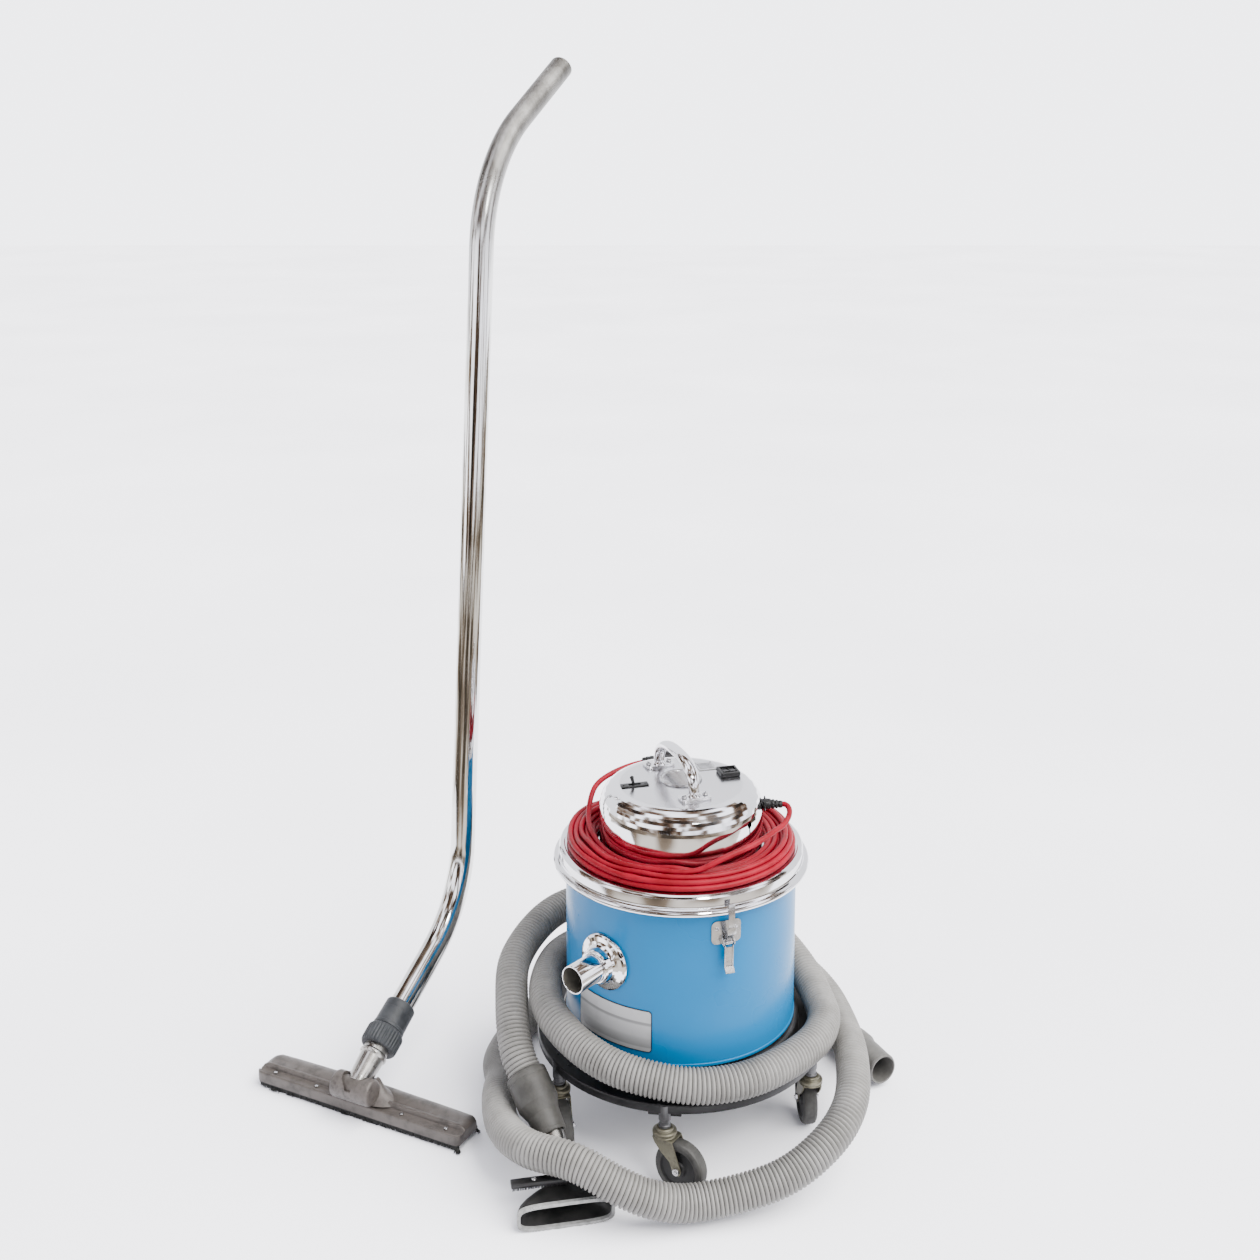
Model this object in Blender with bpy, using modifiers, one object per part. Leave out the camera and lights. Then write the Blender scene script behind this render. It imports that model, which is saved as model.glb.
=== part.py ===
"""A canister vacuum cleaner on a caster dolly, with its hose, hand tool, wand and floor tool.

Metres, +Z up, the floor at z = 0. The canister's axis stands at (AXIS_X, AXIS_Y).
Each function builds its piece round the canister's axis, and place_all() shifts them all.
"""

import math

import bmesh
import bpy
from mathutils import Matrix, Vector

# Where the canister's axis stands, so that the whole object is centred on the origin.
AXIS_X = 0.2113
AXIS_Y = -0.14353

GAP = 0.0003

# Dolly and casters.
TRAY_R = 0.208
PLATFORM_R = 0.172
PLATFORM_TOP = 0.1485
FLANGE_TOP = 0.122
FLANGE_BOTTOM = 0.110
CASTER_R = 0.198
CASTER_ANGLES = (-97.5, -149.5, -24.0, 54.0, 132.0)
CASTER_TRAILS = (-32.0, -76.0, 96.0, 140.0, 215.0)
CASTER_TRAIL = 0.026
WHEEL_R = 0.037
WHEEL_WIDTH = 0.021
RACE_TOP = 0.088

# Drum.
DRUM_R = 0.165
DRUM_WALL = 0.0016
DRUM_BOTTOM = 0.150
DRUM_TOP = 0.398
INLET_ANGLE = -130.6
INLET_Z = 0.286
PIPE_R = 0.019
PIPE_BORE = 0.0174
PIPE_END = 0.231

# Latches.
LATCH_ANGLES = (-70.0, 110.0)
PIN_D = 0.1735
PIN_Z = 0.334

# Head.
BEAD_R = 0.183
LID_TOP = 0.405
DOME_R = 0.117
DOME_TOP = 0.4915
HEAD_TURN = 14.5

# Cord winding on the brim.
COIL_IN = 0.1195
COIL_OUT = 0.163
COIL_LOW = 0.4056
COIL_HIGH = 0.447
CORD_R = 0.004
RELIEF_ANGLE = -4.0
RELIEF_Z = 0.463

# Hose.
HOSE_R = 0.024

# Wand and floor tool, drawn in their own upright plane (s along the floor, z up).
TOOL_X = -0.470
TOOL_Y = -0.053
TOOL_ANGLE = -26.6
TOOL_LENGTH = 0.356
NECK_SLOPE = 28.5
NECK_S = 0.000
NECK_Z = 0.0478
TUBE_R = 0.019
TUBE_BORE = 0.0176

# Hand tool at the hose's end.
MOUTH = (-0.157, -0.279, 0.0186)
MOUTH_ANGLE = 11.5


# ------------------------------------------------------------------ helpers

def clear_scene():
    for obj in list(bpy.data.objects):
        bpy.data.objects.remove(obj, do_unlink=True)


def make_collection(name, hidden=False):
    group = bpy.data.collections.new(name)
    bpy.context.scene.collection.children.link(group)
    group.hide_render = hidden
    return group


def material(name, colour, rough, metal=0.0):
    mat = bpy.data.materials.new(name)
    mat.use_nodes = True
    shader = mat.node_tree.nodes["Principled BSDF"]
    shader.inputs["Base Color"].default_value = (*colour, 1.0)
    shader.inputs["Roughness"].default_value = rough
    shader.inputs["Metallic"].default_value = metal
    return mat


def add(name, mesh, look, origin=(0, 0, 0), turn=None):
    """A new node. The mesh is in the piece's own frame, which turn and origin place."""
    obj = bpy.data.objects.new(name, mesh)
    matrix = Matrix.Translation(Vector(origin))
    if turn is not None:
        matrix = matrix @ turn.to_4x4()
    obj.matrix_world = matrix
    mesh.materials.clear()
    mesh.materials.append(material(name + "_look", *look))
    PARTS.objects.link(obj)
    return obj


def cutter(name, mesh, origin=(0, 0, 0), turn=None):
    obj = bpy.data.objects.new(name, mesh)
    matrix = Matrix.Translation(Vector(origin))
    if turn is not None:
        matrix = matrix @ turn.to_4x4()
    obj.matrix_world = matrix
    obj.hide_render = True
    obj.display_type = "WIRE"
    CUTTERS.objects.link(obj)
    return obj


def boolean(obj, other, operation="DIFFERENCE"):
    mod = obj.modifiers.new(other.name, "BOOLEAN")
    mod.operation = operation
    mod.solver = "EXACT"
    mod.object = other


def bevel(obj, width, segments=1, angle=40.0):
    mod = obj.modifiers.new("Bevel", "BEVEL")
    mod.width = width
    mod.segments = segments
    mod.limit_method = "ANGLE"
    mod.angle_limit = math.radians(angle)


def frozen(obj):
    """The object's evaluated mesh, with its modifiers done."""
    graph = bpy.context.evaluated_depsgraph_get()
    graph.update()
    return bpy.data.meshes.new_from_object(obj.evaluated_get(graph), depsgraph=graph)


def box_mesh(size, centre=(0, 0, 0)):
    bm = bmesh.new()
    bmesh.ops.create_cube(bm, size=1.0)
    bmesh.ops.scale(bm, vec=Vector(size), verts=bm.verts)
    bmesh.ops.translate(bm, vec=Vector(centre), verts=bm.verts)
    mesh = bpy.data.meshes.new("box")
    bm.to_mesh(mesh)
    bm.free()
    return mesh


def rod_mesh(radius, length, sides=20, centre=(0, 0, 0), axis="Z", radius_2=None):
    bm = bmesh.new()
    top = radius if radius_2 is None else radius_2
    bmesh.ops.create_cone(
        bm, cap_ends=True, segments=sides, radius1=radius, radius2=top, depth=length
    )
    turns = {
        "Z": Matrix.Identity(3),
        "X": Matrix.Rotation(math.pi / 2, 3, "Y"),
        "Y": Matrix.Rotation(-math.pi / 2, 3, "X"),
    }
    bmesh.ops.rotate(bm, matrix=turns[axis], verts=bm.verts)
    bmesh.ops.translate(bm, vec=Vector(centre), verts=bm.verts)
    mesh = bpy.data.meshes.new("rod")
    bm.to_mesh(mesh)
    bm.free()
    return mesh


def outline_mesh(points, low, high):
    """A flat outline in X and Z, given thickness along Y from low to high."""
    bm = bmesh.new()
    front = [bm.verts.new((x, low, z)) for x, z in points]
    back = [bm.verts.new((x, high, z)) for x, z in points]
    bm.faces.new(front)
    bm.faces.new(list(reversed(back)))
    count = len(points)
    for i in range(count):
        j = (i + 1) % count
        bm.faces.new((front[j], front[i], back[i], back[j]))
    bmesh.ops.recalc_face_normals(bm, faces=bm.faces)
    mesh = bpy.data.meshes.new("outline")
    bm.to_mesh(mesh)
    bm.free()
    return mesh


def turned_mesh(profile, steps, closed=False):
    """The profile (radius, height) swept round Z with a Screw. It runs down its outer side."""
    mesh = bpy.data.meshes.new("profile")
    count = len(profile)
    edges = [(i, i + 1) for i in range(count - 1)]
    if closed:
        edges.append((count - 1, 0))
    mesh.from_pydata([(r, 0.0, z) for r, z in profile], edges, [])
    obj = bpy.data.objects.new("profile", mesh)
    CUTTERS.objects.link(obj)
    mod = obj.modifiers.new("Screw", "SCREW")
    mod.steps = steps
    mod.render_steps = steps
    mod.use_merge_vertices = True
    mod.merge_threshold = 0.00005
    result = frozen(obj)
    bpy.data.objects.remove(obj, do_unlink=True)
    return result


def joined(meshes):
    """Solids that overlap, made into one."""
    base = cutter("join_base", meshes[0])
    for index, mesh in enumerate(meshes[1:]):
        boolean(base, cutter("join_%d" % index, mesh), "UNION")
    result = frozen(base)
    for obj in [o for o in CUTTERS.objects if o.name.startswith("join_")]:
        bpy.data.objects.remove(obj, do_unlink=True)
    return result


def moved(mesh, matrix):
    mesh.transform(matrix)
    return mesh


def curve_mesh(points, radius, resolution, caps=True):
    """A round tube along the points."""
    curve = bpy.data.curves.new("route", "CURVE")
    curve.dimensions = "3D"
    curve.bevel_depth = radius
    curve.bevel_resolution = resolution
    curve.use_fill_caps = caps
    spline = curve.splines.new("POLY")
    spline.points.add(len(points) - 1)
    for target, point in zip(spline.points, points):
        target.co = (*point, 1.0)
    obj = bpy.data.objects.new("route", curve)
    CUTTERS.objects.link(obj)
    mesh = frozen(obj)
    bpy.data.objects.remove(obj, do_unlink=True)
    bm = bmesh.new()
    bm.from_mesh(mesh)
    bmesh.ops.remove_doubles(bm, verts=bm.verts, dist=0.00001)
    bmesh.ops.recalc_face_normals(bm, faces=bm.faces)
    bm.to_mesh(mesh)
    bm.free()
    return mesh


def smooth_route(points, step):
    """Points spaced evenly by step on a smooth curve through the given ones."""
    pts = [Vector(p) for p in points]
    pts = [2 * pts[0] - pts[1]] + pts + [2 * pts[-1] - pts[-2]]
    fine = []
    for i in range(1, len(pts) - 2):
        a, b, c, d = pts[i - 1], pts[i], pts[i + 1], pts[i + 2]
        for k in range(24):
            t = k / 24
            fine.append(
                0.5
                * (
                    2 * b
                    + (c - a) * t
                    + (2 * a - 5 * b + 4 * c - d) * t * t
                    + (3 * b - a - 3 * c + d) * t * t * t
                )
            )
    fine.append(pts[-2])
    lengths = [0.0]
    for p, q in zip(fine, fine[1:]):
        lengths.append(lengths[-1] + (q - p).length)
    count = max(2, round(lengths[-1] / step))
    route = []
    at = 0
    for k in range(count + 1):
        want = lengths[-1] * k / count
        while at < len(lengths) - 2 and lengths[at + 1] < want:
            at += 1
        part = (want - lengths[at]) / (lengths[at + 1] - lengths[at])
        route.append(fine[at].lerp(fine[at + 1], part))
    return route


def bent_route(corners, radii, arc_points):
    """A line through flat corners (s, z), with each inner corner rounded to its radius."""
    pts = [Vector(c) for c in corners]
    route = [pts[0]]
    for i, radius in enumerate(radii, start=1):
        u = (pts[i] - pts[i - 1]).normalized()
        v = (pts[i + 1] - pts[i]).normalized()
        turn = u.angle(v)
        reach = radius * math.tan(turn / 2)
        start = pts[i] - u * reach
        side = v - u * v.dot(u)
        centre = start + side.normalized() * radius
        for k in range(arc_points + 1):
            angle = turn * k / arc_points
            arm = (start - centre) * math.cos(angle) + u * radius * math.sin(angle)
            route.append(centre + arm)
    route.append(pts[-1])
    return route


def polar(radius, degrees, z):
    angle = math.radians(degrees)
    return Vector((radius * math.cos(angle), radius * math.sin(angle), z))


def about_z(degrees):
    return Matrix.Rotation(math.radians(degrees), 3, "Z")


def along(direction):
    """The turn that takes +Z to the direction, with +X kept level."""
    z = Vector(direction).normalized()
    x = Vector((0, 0, 1)).cross(z)
    x = x.normalized() if x.length > 1e-6 else Vector((1, 0, 0))
    y = z.cross(x)
    return Matrix((x, y, z)).transposed()


def arc_plate_mesh(inner, outer, half_angle, low, high, parts):
    """A plate bent round Z, centred on +X."""
    bm = bmesh.new()
    rows = []
    for k in range(parts + 1):
        a = math.radians(-half_angle + 2 * half_angle * k / parts)
        row = []
        for r, z in ((inner, low), (outer, low), (outer, high), (inner, high)):
            row.append(bm.verts.new((r * math.cos(a), r * math.sin(a), z)))
        rows.append(row)
    for one, two in zip(rows, rows[1:]):
        for i in range(4):
            j = (i + 1) % 4
            bm.faces.new((one[i], one[j], two[j], two[i]))
    bm.faces.new(rows[0])
    bm.faces.new(list(reversed(rows[-1])))
    bmesh.ops.recalc_face_normals(bm, faces=bm.faces)
    mesh = bpy.data.meshes.new("arc_plate")
    bm.to_mesh(mesh)
    bm.free()
    return mesh


def ring_mesh(inner, outer, low, high, steps, edge=0.0):
    """A turned ring with a small flat on each outer edge."""
    profile = [
        (inner, high),
        (outer - edge, high),
        (outer, high - edge),
        (outer, low + edge),
        (outer - edge, low),
        (inner, low),
    ]
    if edge == 0.0:
        profile = [(inner, high), (outer, high), (outer, low), (inner, low)]
    return turned_mesh(profile, steps, closed=True)


# ------------------------------------------------------------------ dolly

BLACK = ((0.02, 0.02, 0.022), 0.5)
CHROME = ((0.75, 0.75, 0.77), 0.12, 1.0)
ZINC = ((0.45, 0.42, 0.30), 0.35, 1.0)
RUBBER = ((0.06, 0.06, 0.065), 0.7)
GREY_VINYL = ((0.13, 0.12, 0.115), 0.6)
STEEL = ((0.55, 0.55, 0.56), 0.3, 1.0)
WHITE = ((0.8, 0.8, 0.78), 0.5)
RED = ((0.5, 0.02, 0.05), 0.4)
BLUE = ((0.02, 0.27, 0.62), 0.25)


def dolly_tray():
    profile = [
        (0.0, PLATFORM_TOP),
        (PLATFORM_R - 0.005, PLATFORM_TOP),
        (PLATFORM_R - 0.0045, PLATFORM_TOP + 0.004),
        (PLATFORM_R - 0.001, PLATFORM_TOP + 0.004),
        (PLATFORM_R, PLATFORM_TOP + 0.003),
        (PLATFORM_R, FLANGE_TOP + 0.002),
        (PLATFORM_R + 0.002, FLANGE_TOP),
        (TRAY_R - 0.002, FLANGE_TOP),
        (TRAY_R, FLANGE_TOP - 0.002),
        (TRAY_R, FLANGE_BOTTOM),
        (TRAY_R - 0.003, FLANGE_BOTTOM),
        (TRAY_R - 0.003, FLANGE_TOP - 0.005),
        (PLATFORM_R - 0.005, FLANGE_TOP - 0.005),
        (PLATFORM_R - 0.005, PLATFORM_TOP - 0.006),
        (0.0, PLATFORM_TOP - 0.006),
    ]
    meshes = [turned_mesh(profile, 36)]
    low = RACE_TOP + GAP
    for angle in CASTER_ANGLES:
        spot = polar(CASTER_R + 0.003, angle, (low + FLANGE_TOP - 0.001) / 2)
        post = rod_mesh(0.0085, FLANGE_TOP - 0.001 - low, 10)
        meshes.append(moved(post, Matrix.Translation(spot)))
        lug = box_mesh((0.022, 0.046, 0.014), (-0.006, 0, 0))
        place = Matrix.Translation(polar(CASTER_R, angle, 0.1105)) @ about_z(angle).to_4x4()
        meshes.append(moved(lug, place))
    add("dolly_tray", joined(meshes), BLACK)


def fork_mesh():
    """One caster fork: its axle lies along Y at (CASTER_TRAIL, 0), its swivel on Z."""
    half = WHEEL_WIDTH / 2 + 0.0012
    axle = WHEEL_R - RACE_TOP
    race = [
        (0.0, 0.0),
        (0.0115, 0.0),
        (0.0165, -0.0045),
        (0.0165, -0.0115),
        (0.0, -0.0115),
    ]
    meshes = [turned_mesh(race, 12)]
    meshes.append(box_mesh((0.031, 2 * half + 0.0036, 0.0025), (0.0035, 0, -0.0117)))
    leg = [
        (-0.012, -0.0105),
        (0.019, -0.0105),
        (CASTER_TRAIL + 0.0065, axle + 0.001),
        (CASTER_TRAIL + 0.004, axle - 0.0055),
        (CASTER_TRAIL - 0.004, axle - 0.0055),
        (CASTER_TRAIL - 0.008, axle + 0.001),
    ]
    meshes.append(outline_mesh(leg, half, half + 0.0018))
    meshes.append(outline_mesh(leg, -half - 0.0018, -half))
    pin = rod_mesh(0.0040, 2 * half + 0.007, 10, (CASTER_TRAIL, 0, axle), "Y")
    meshes.append(pin)
    return joined(meshes)


def wheel_mesh():
    """One wheel, turned round Y, with its bore on the axle."""
    half = WHEEL_WIDTH / 2
    profile = [
        (0.0044, half),
        (0.010, half),
        (0.014, half - 0.003),
        (0.026, half - 0.003),
        (0.029, half),
        (WHEEL_R - 0.003, half),
        (WHEEL_R, half - 0.003),
        (WHEEL_R, -half + 0.003),
        (WHEEL_R - 0.003, -half),
        (0.0044, -half),
    ]
    mesh = turned_mesh(profile, 16, closed=True)
    return moved(mesh, Matrix.Rotation(math.pi / 2, 4, "X"))


def casters():
    fork = fork_mesh()
    wheel = wheel_mesh()
    for index, (angle, trail) in enumerate(zip(CASTER_ANGLES, CASTER_TRAILS), start=1):
        stem = polar(CASTER_R + 0.003, angle, RACE_TOP)
        turn = about_z(trail)
        add("caster_fork_%d" % index, fork.copy(), ZINC, stem, turn)
        axle = stem + turn @ Vector((CASTER_TRAIL, 0, WHEEL_R - RACE_TOP))
        add("caster_wheel_%d" % index, wheel.copy(), RUBBER, axle, turn)


# ------------------------------------------------------------------ drum

def inlet_turn():
    return along(polar(1.0, INLET_ANGLE, 0.0))


def drum_shell():
    inner = DRUM_R - DRUM_WALL
    profile = [
        (0.0, DRUM_BOTTOM + DRUM_WALL),
        (inner - 0.004, DRUM_BOTTOM + DRUM_WALL),
        (inner, DRUM_BOTTOM + DRUM_WALL + 0.004),
        (inner, DRUM_TOP),
        (DRUM_R + 0.004, DRUM_TOP),
        (DRUM_R + 0.0055, DRUM_TOP - 0.0015),
        (DRUM_R + 0.0055, DRUM_TOP - 0.0085),
        (DRUM_R + 0.004, DRUM_TOP - 0.010),
        (DRUM_R, DRUM_TOP - 0.011),
        (DRUM_R, DRUM_BOTTOM + 0.004),
        (DRUM_R - 0.0035, DRUM_BOTTOM),
        (0.0, DRUM_BOTTOM),
    ]
    shell = add("drum_shell", turned_mesh(profile, 44), BLUE)
    hole = rod_mesh(PIPE_R + GAP, 0.10, 24)
    spot = polar(DRUM_R, INLET_ANGLE, INLET_Z)
    boolean(shell, cutter("inlet_hole", hole, spot, inlet_turn()))


def inlet():
    """The dished flange on the drum's side, and the pipe through it."""
    profile = [
        (PIPE_R + GAP, 0.188),
        (0.0222, 0.188),
        (0.0240, 0.1855),
        (0.0255, 0.1765),
        (0.0300, 0.1725),
        (0.0365, 0.1705),
        (0.0395, 0.1680),
        (0.0400, 0.1655),
        (0.0400, 0.150),
        (PIPE_R + GAP, 0.150),
    ]
    turn = inlet_turn()
    origin = (0, 0, INLET_Z)
    flange = add("inlet_flange", turned_mesh(profile, 20, closed=True), CHROME, origin, turn)
    body = cutter("drum_body", rod_mesh(DRUM_R + GAP, 0.30, 96, (0, 0, INLET_Z)))
    boolean(flange, body)
    pipe = [
        (PIPE_BORE, PIPE_END),
        (PIPE_R, PIPE_END),
        (PIPE_R, 0.152),
        (PIPE_BORE, 0.152),
    ]
    add("inlet_pipe", turned_mesh(pipe, 24, closed=True), CHROME, origin, turn)


def nameplate():
    mesh = arc_plate_mesh(DRUM_R + GAP, DRUM_R + 0.0012, 22.0, 0.170, 0.231, 12)
    add("nameplate", mesh, WHITE, turn=about_z(-127.2))


def latch(index, angle):
    """A draw latch: base on the drum, hook over the lid's bead, lever hanging below."""
    turn = about_z(angle)
    meshes = [arc_plate_mesh(DRUM_R + GAP, DRUM_R + 0.0018, 7.6, 0.3305, 0.363, 4)]
    for side in (-1, 1):
        ear = [
            (DRUM_R + 0.0010, 0.3315),
            (PIN_D + 0.001, 0.3295),
            (PIN_D + 0.004, PIN_Z),
            (PIN_D + 0.001, 0.3385),
            (DRUM_R + 0.0010, 0.344),
        ]
        meshes.append(outline_mesh(ear, side * 0.0079 - 0.0007, side * 0.0079 + 0.0007))
    meshes.append(rod_mesh(0.0014, 0.0195, 10, (PIN_D, 0, PIN_Z), "Y"))
    add("latch_base_%d" % index, joined(meshes), STEEL, turn=turn)

    pivot = polar(PIN_D, angle, PIN_Z)
    strap = [
        (-0.0006, 0.0020),
        (0.0110, 0.0190),
        (0.0110, 0.0605),
        (0.0080, 0.0605),
        (0.0080, 0.0592),
        (0.0098, 0.0592),
        (0.0098, 0.0196),
        (-0.0018, 0.0029),
    ]
    add("latch_hook_%d" % index, outline_mesh(strap, -0.0045, 0.0045), STEEL, pivot, turn)
    lever = [
        (-0.0012, -0.0022),
        (0.0030, -0.0022),
        (0.0022, -0.0330),
        (0.0078, -0.0400),
        (0.0068, -0.0410),
        (0.0004, -0.0350),
        (0.0008, -0.0100),
    ]
    add("latch_lever_%d" % index, outline_mesh(lever, -0.0066, 0.0066), STEEL, pivot, turn)


# ------------------------------------------------------------------ head

def lid():
    profile = [
        (0.052, LID_TOP),
        (0.1690, LID_TOP),
        (0.1725, LID_TOP - 0.0010),
        (0.1745, LID_TOP - 0.0035),
        (0.1750, LID_TOP - 0.0160),
        (0.1780, 0.3870),
        (0.1815, 0.3860),
        (BEAD_R, 0.3825),
        (0.1815, 0.3790),
        (0.1780, 0.3780),
        (0.1750, 0.3785),
        (0.1732, 0.3810),
        (0.1732, 0.3990),
        (0.1715, 0.4022),
        (0.052, 0.4022),
    ]
    add("lid", turned_mesh(profile, 42, closed=True), CHROME)


def lid_gasket():
    add("lid_gasket", ring_mesh(0.1625, 0.1702, DRUM_TOP + GAP, 0.4019, 40), RUBBER)


def dome_profile():
    return [
        (0.0, DOME_TOP),
        (0.0880, DOME_TOP),
        (0.0960, DOME_TOP - 0.0014),
        (0.1040, DOME_TOP - 0.0055),
        (0.1105, DOME_TOP - 0.0125),
        (0.1145, DOME_TOP - 0.0210),
        (0.1164, DOME_TOP - 0.0310),
        (0.1168, DOME_TOP - 0.0420),
        (DOME_R, LID_TOP + GAP),
        (DOME_R - 0.0016, LID_TOP + GAP),
        (0.1151, DOME_TOP - 0.0420),
        (0.1147, DOME_TOP - 0.0314),
        (0.1129, DOME_TOP - 0.0218),
        (0.1092, DOME_TOP - 0.0138),
        (0.1031, DOME_TOP - 0.0070),
        (0.0955, DOME_TOP - 0.0031),
        (0.0875, DOME_TOP - 0.0017),
        (0.0, DOME_TOP - 0.0017),
    ]


VENT = (0.000, 0.012)
TOGGLE = (-0.0665, -0.0105)
ROCKERS = (0.0690, 0.0310)
REAR_FOOT = (-0.0310, 0.0620)
FRONT_FOOT = (0.0170, -0.0560)


def dome():
    shell = add("dome", turned_mesh(dome_profile(), 40), CHROME)
    turn = about_z(HEAD_TURN)
    vent_hole = rod_mesh(0.0285, 0.02, 24)
    boolean(shell, cutter("vent_hole", vent_hole, (*VENT, DOME_TOP)))
    slot = box_mesh((0.030, 0.0068, 0.02))
    boolean(shell, cutter("toggle_hole", slot, (*TOGGLE, DOME_TOP), turn))
    window = box_mesh((0.0224, 0.0214, 0.02))
    boolean(shell, cutter("rocker_hole", window, (*ROCKERS, DOME_TOP), turn))
    cord_hole = rod_mesh(0.0070 + GAP, 0.03, 16)
    spot = polar(0.112, RELIEF_ANGLE, RELIEF_Z)
    out = along(polar(1.0, RELIEF_ANGLE, 0.0))
    boolean(shell, cutter("cord_hole", cord_hole, spot, out))
    slit = box_mesh((0.03, 0.0035, 0.012))
    boolean(shell, cutter("slit_1", slit, polar(0.114, -37.0, 0.452), about_z(-37.0)))
    bar = box_mesh((0.03, 0.0110, 0.0035))
    boolean(shell, cutter("slit_2", bar, polar(0.114, -37.0, 0.4585), about_z(-37.0)))


def vent_grille():
    """A round louvre set in the dome's top: a rim, five bars and a floor with slots."""
    rim = ring_mesh(0.0245, 0.0305, DOME_TOP + GAP, DOME_TOP + 0.0032, 24, 0.001)
    meshes = [rim]
    for k in range(-3, 4):
        y = k * 0.0066
        reach = math.sqrt(0.0262**2 - y**2)
        bar = box_mesh((2 * reach, 0.0030, 0.0018), (0, y, DOME_TOP + 0.0016))
        meshes.append(bar)
    add("vent_grille", joined(meshes), CHROME, (*VENT, 0), about_z(HEAD_TURN))


def toggle():
    turn = about_z(HEAD_TURN)
    plate = box_mesh((0.040, 0.0125, 0.0016), (0, 0, DOME_TOP + GAP + 0.0008))
    part = add("toggle_plate", plate, BLACK, (*TOGGLE, 0), turn)
    boolean(part, cutter("toggle_slot", box_mesh((0.018, 0.0052, 0.02)), (*TOGGLE, DOME_TOP), turn))
    pivot = (*TOGGLE, DOME_TOP - 0.004)
    stick = rod_mesh(0.0016, 0.0150, 12, (0, 0, 0.0095), radius_2=0.0022)
    tip = rod_mesh(0.0030, 0.0026, 12, (0, 0, 0.0175))
    hub = rod_mesh(0.0026, 0.0046, 12, (0, 0, 0), "Y")
    lean = Matrix.Rotation(math.radians(-14.0), 3, "Y")
    add("toggle_lever", joined([stick, tip, hub]), STEEL, pivot, turn @ lean)


def rockers():
    turn = about_z(HEAD_TURN)
    frame = box_mesh((0.0290, 0.0270, 0.0068), (0, 0, DOME_TOP + GAP + 0.0034))
    part = add("rocker_bezel", frame, BLACK, (*ROCKERS, 0), turn)
    hole = box_mesh((0.0216, 0.0206, 0.03))
    boolean(part, cutter("bezel_hole", hole, (*ROCKERS, DOME_TOP), turn))
    shape = [
        (-0.0090, 0.0042),
        (0.0, 0.0022),
        (0.0090, 0.0006),
        (0.0080, -0.0060),
        (-0.0080, -0.0060),
    ]
    for index, side in ((1, -1), (2, 1)):
        low = side * 0.0053 - 0.0046
        mesh = outline_mesh(shape, low, low + 0.0092)
        mesh = moved(mesh, Matrix.Rotation(math.pi / 2, 4, "Z"))
        pivot = (*ROCKERS, DOME_TOP + 0.0040)
        add("rocker_%d" % index, mesh, BLACK, pivot, turn)


def rating_plate():
    mesh = box_mesh((0.0270, 0.0300, 0.0006), (0, 0, DOME_TOP + GAP + 0.0003))
    add("rating_plate", mesh, STEEL, (0.0370, 0.0580, 0), about_z(HEAD_TURN))


def handle():
    """A cast strap: two foot pads and an arch between them."""
    rear = Vector((*REAR_FOOT, 0))
    front = Vector((*FRONT_FOOT, 0))
    line = front - rear
    half = line.length / 2
    facing = math.degrees(math.atan2(line.y, line.x))
    route = []
    for k in range(19):
        a = math.pi * k / 18
        x = -(half - 0.002) * math.copysign(abs(math.cos(a)) ** 0.8, math.cos(a))
        z = 0.004 + 0.042 * math.sin(a) ** 0.75
        route.append((x, 0, z))
    arch = curve_mesh(route, 0.0068, 2)
    arch = moved(arch, Matrix.Diagonal((1, 1.15, 1, 1)))
    meshes = [arch]
    for side in (-1, 1):
        pad = box_mesh((0.0230, 0.0450, 0.0042), (side * half, 0, 0.0021))
        meshes.append(pad)
    centre = (rear + front) / 2 + Vector((0, 0, DOME_TOP + GAP))
    base = joined(meshes)
    add("handle", base, CHROME, centre, about_z(facing))
    spots = ((half, -0.016), (half, 0.016), (-half, -0.016), (-half, 0.016))
    for index, (x, y) in enumerate(spots, start=1):
        screw = rod_mesh(0.0042, 0.0022, 14, (0, 0, 0.0042 + GAP + 0.0011), radius_2=0.0026)
        spot = centre + about_z(facing) @ Vector((x, y, 0))
        add("handle_screw_%d" % index, screw, STEEL, spot)


def strain_relief():
    out = along(polar(1.0, RELIEF_ANGLE, 0.0))
    profile = [
        (0.0, 0.030),
        (0.0048, 0.030),
        (0.0056, 0.026),
        (0.0082, 0.0062),
        (0.0110, 0.0055),
        (0.0110, 0.0035),
        (0.0070, 0.0030),
        (0.0070, -0.0100),
        (0.0, -0.0100),
    ]
    add("strain_relief", turned_mesh(profile, 16), BLACK, polar(0.1143, RELIEF_ANGLE, RELIEF_Z), out)


def motor():
    profile = [
        (0.0, 0.474),
        (0.018, 0.474),
        (0.020, 0.468),
        (0.048, 0.466),
        (0.054, 0.460),
        (0.054, 0.430),
        (0.066, 0.426),
        (0.066, LID_TOP + GAP),
        (0.0, LID_TOP + GAP),
    ]
    add("motor", turned_mesh(profile, 20), STEEL)


def fan_housing():
    profile = [
        (0.0, 0.4019),
        (0.074, 0.4019),
        (0.078, 0.399),
        (0.078, 0.376),
        (0.070, 0.370),
        (0.0, 0.370),
    ]
    add("fan_housing", turned_mesh(profile, 24), STEEL)


def filter_cup():
    profile = [
        (0.0, 0.2585),
        (0.0965, 0.2585),
        (0.1015, 0.2640),
        (0.1195, 0.398),
        (0.1600, 0.398),
        (0.1600, 0.3955),
        (0.1222, 0.3955),
        (0.1040, 0.2620),
        (0.0980, 0.2560),
        (0.0, 0.2560),
    ]
    add("filter_cup", turned_mesh(profile, 32), WHITE)


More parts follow.
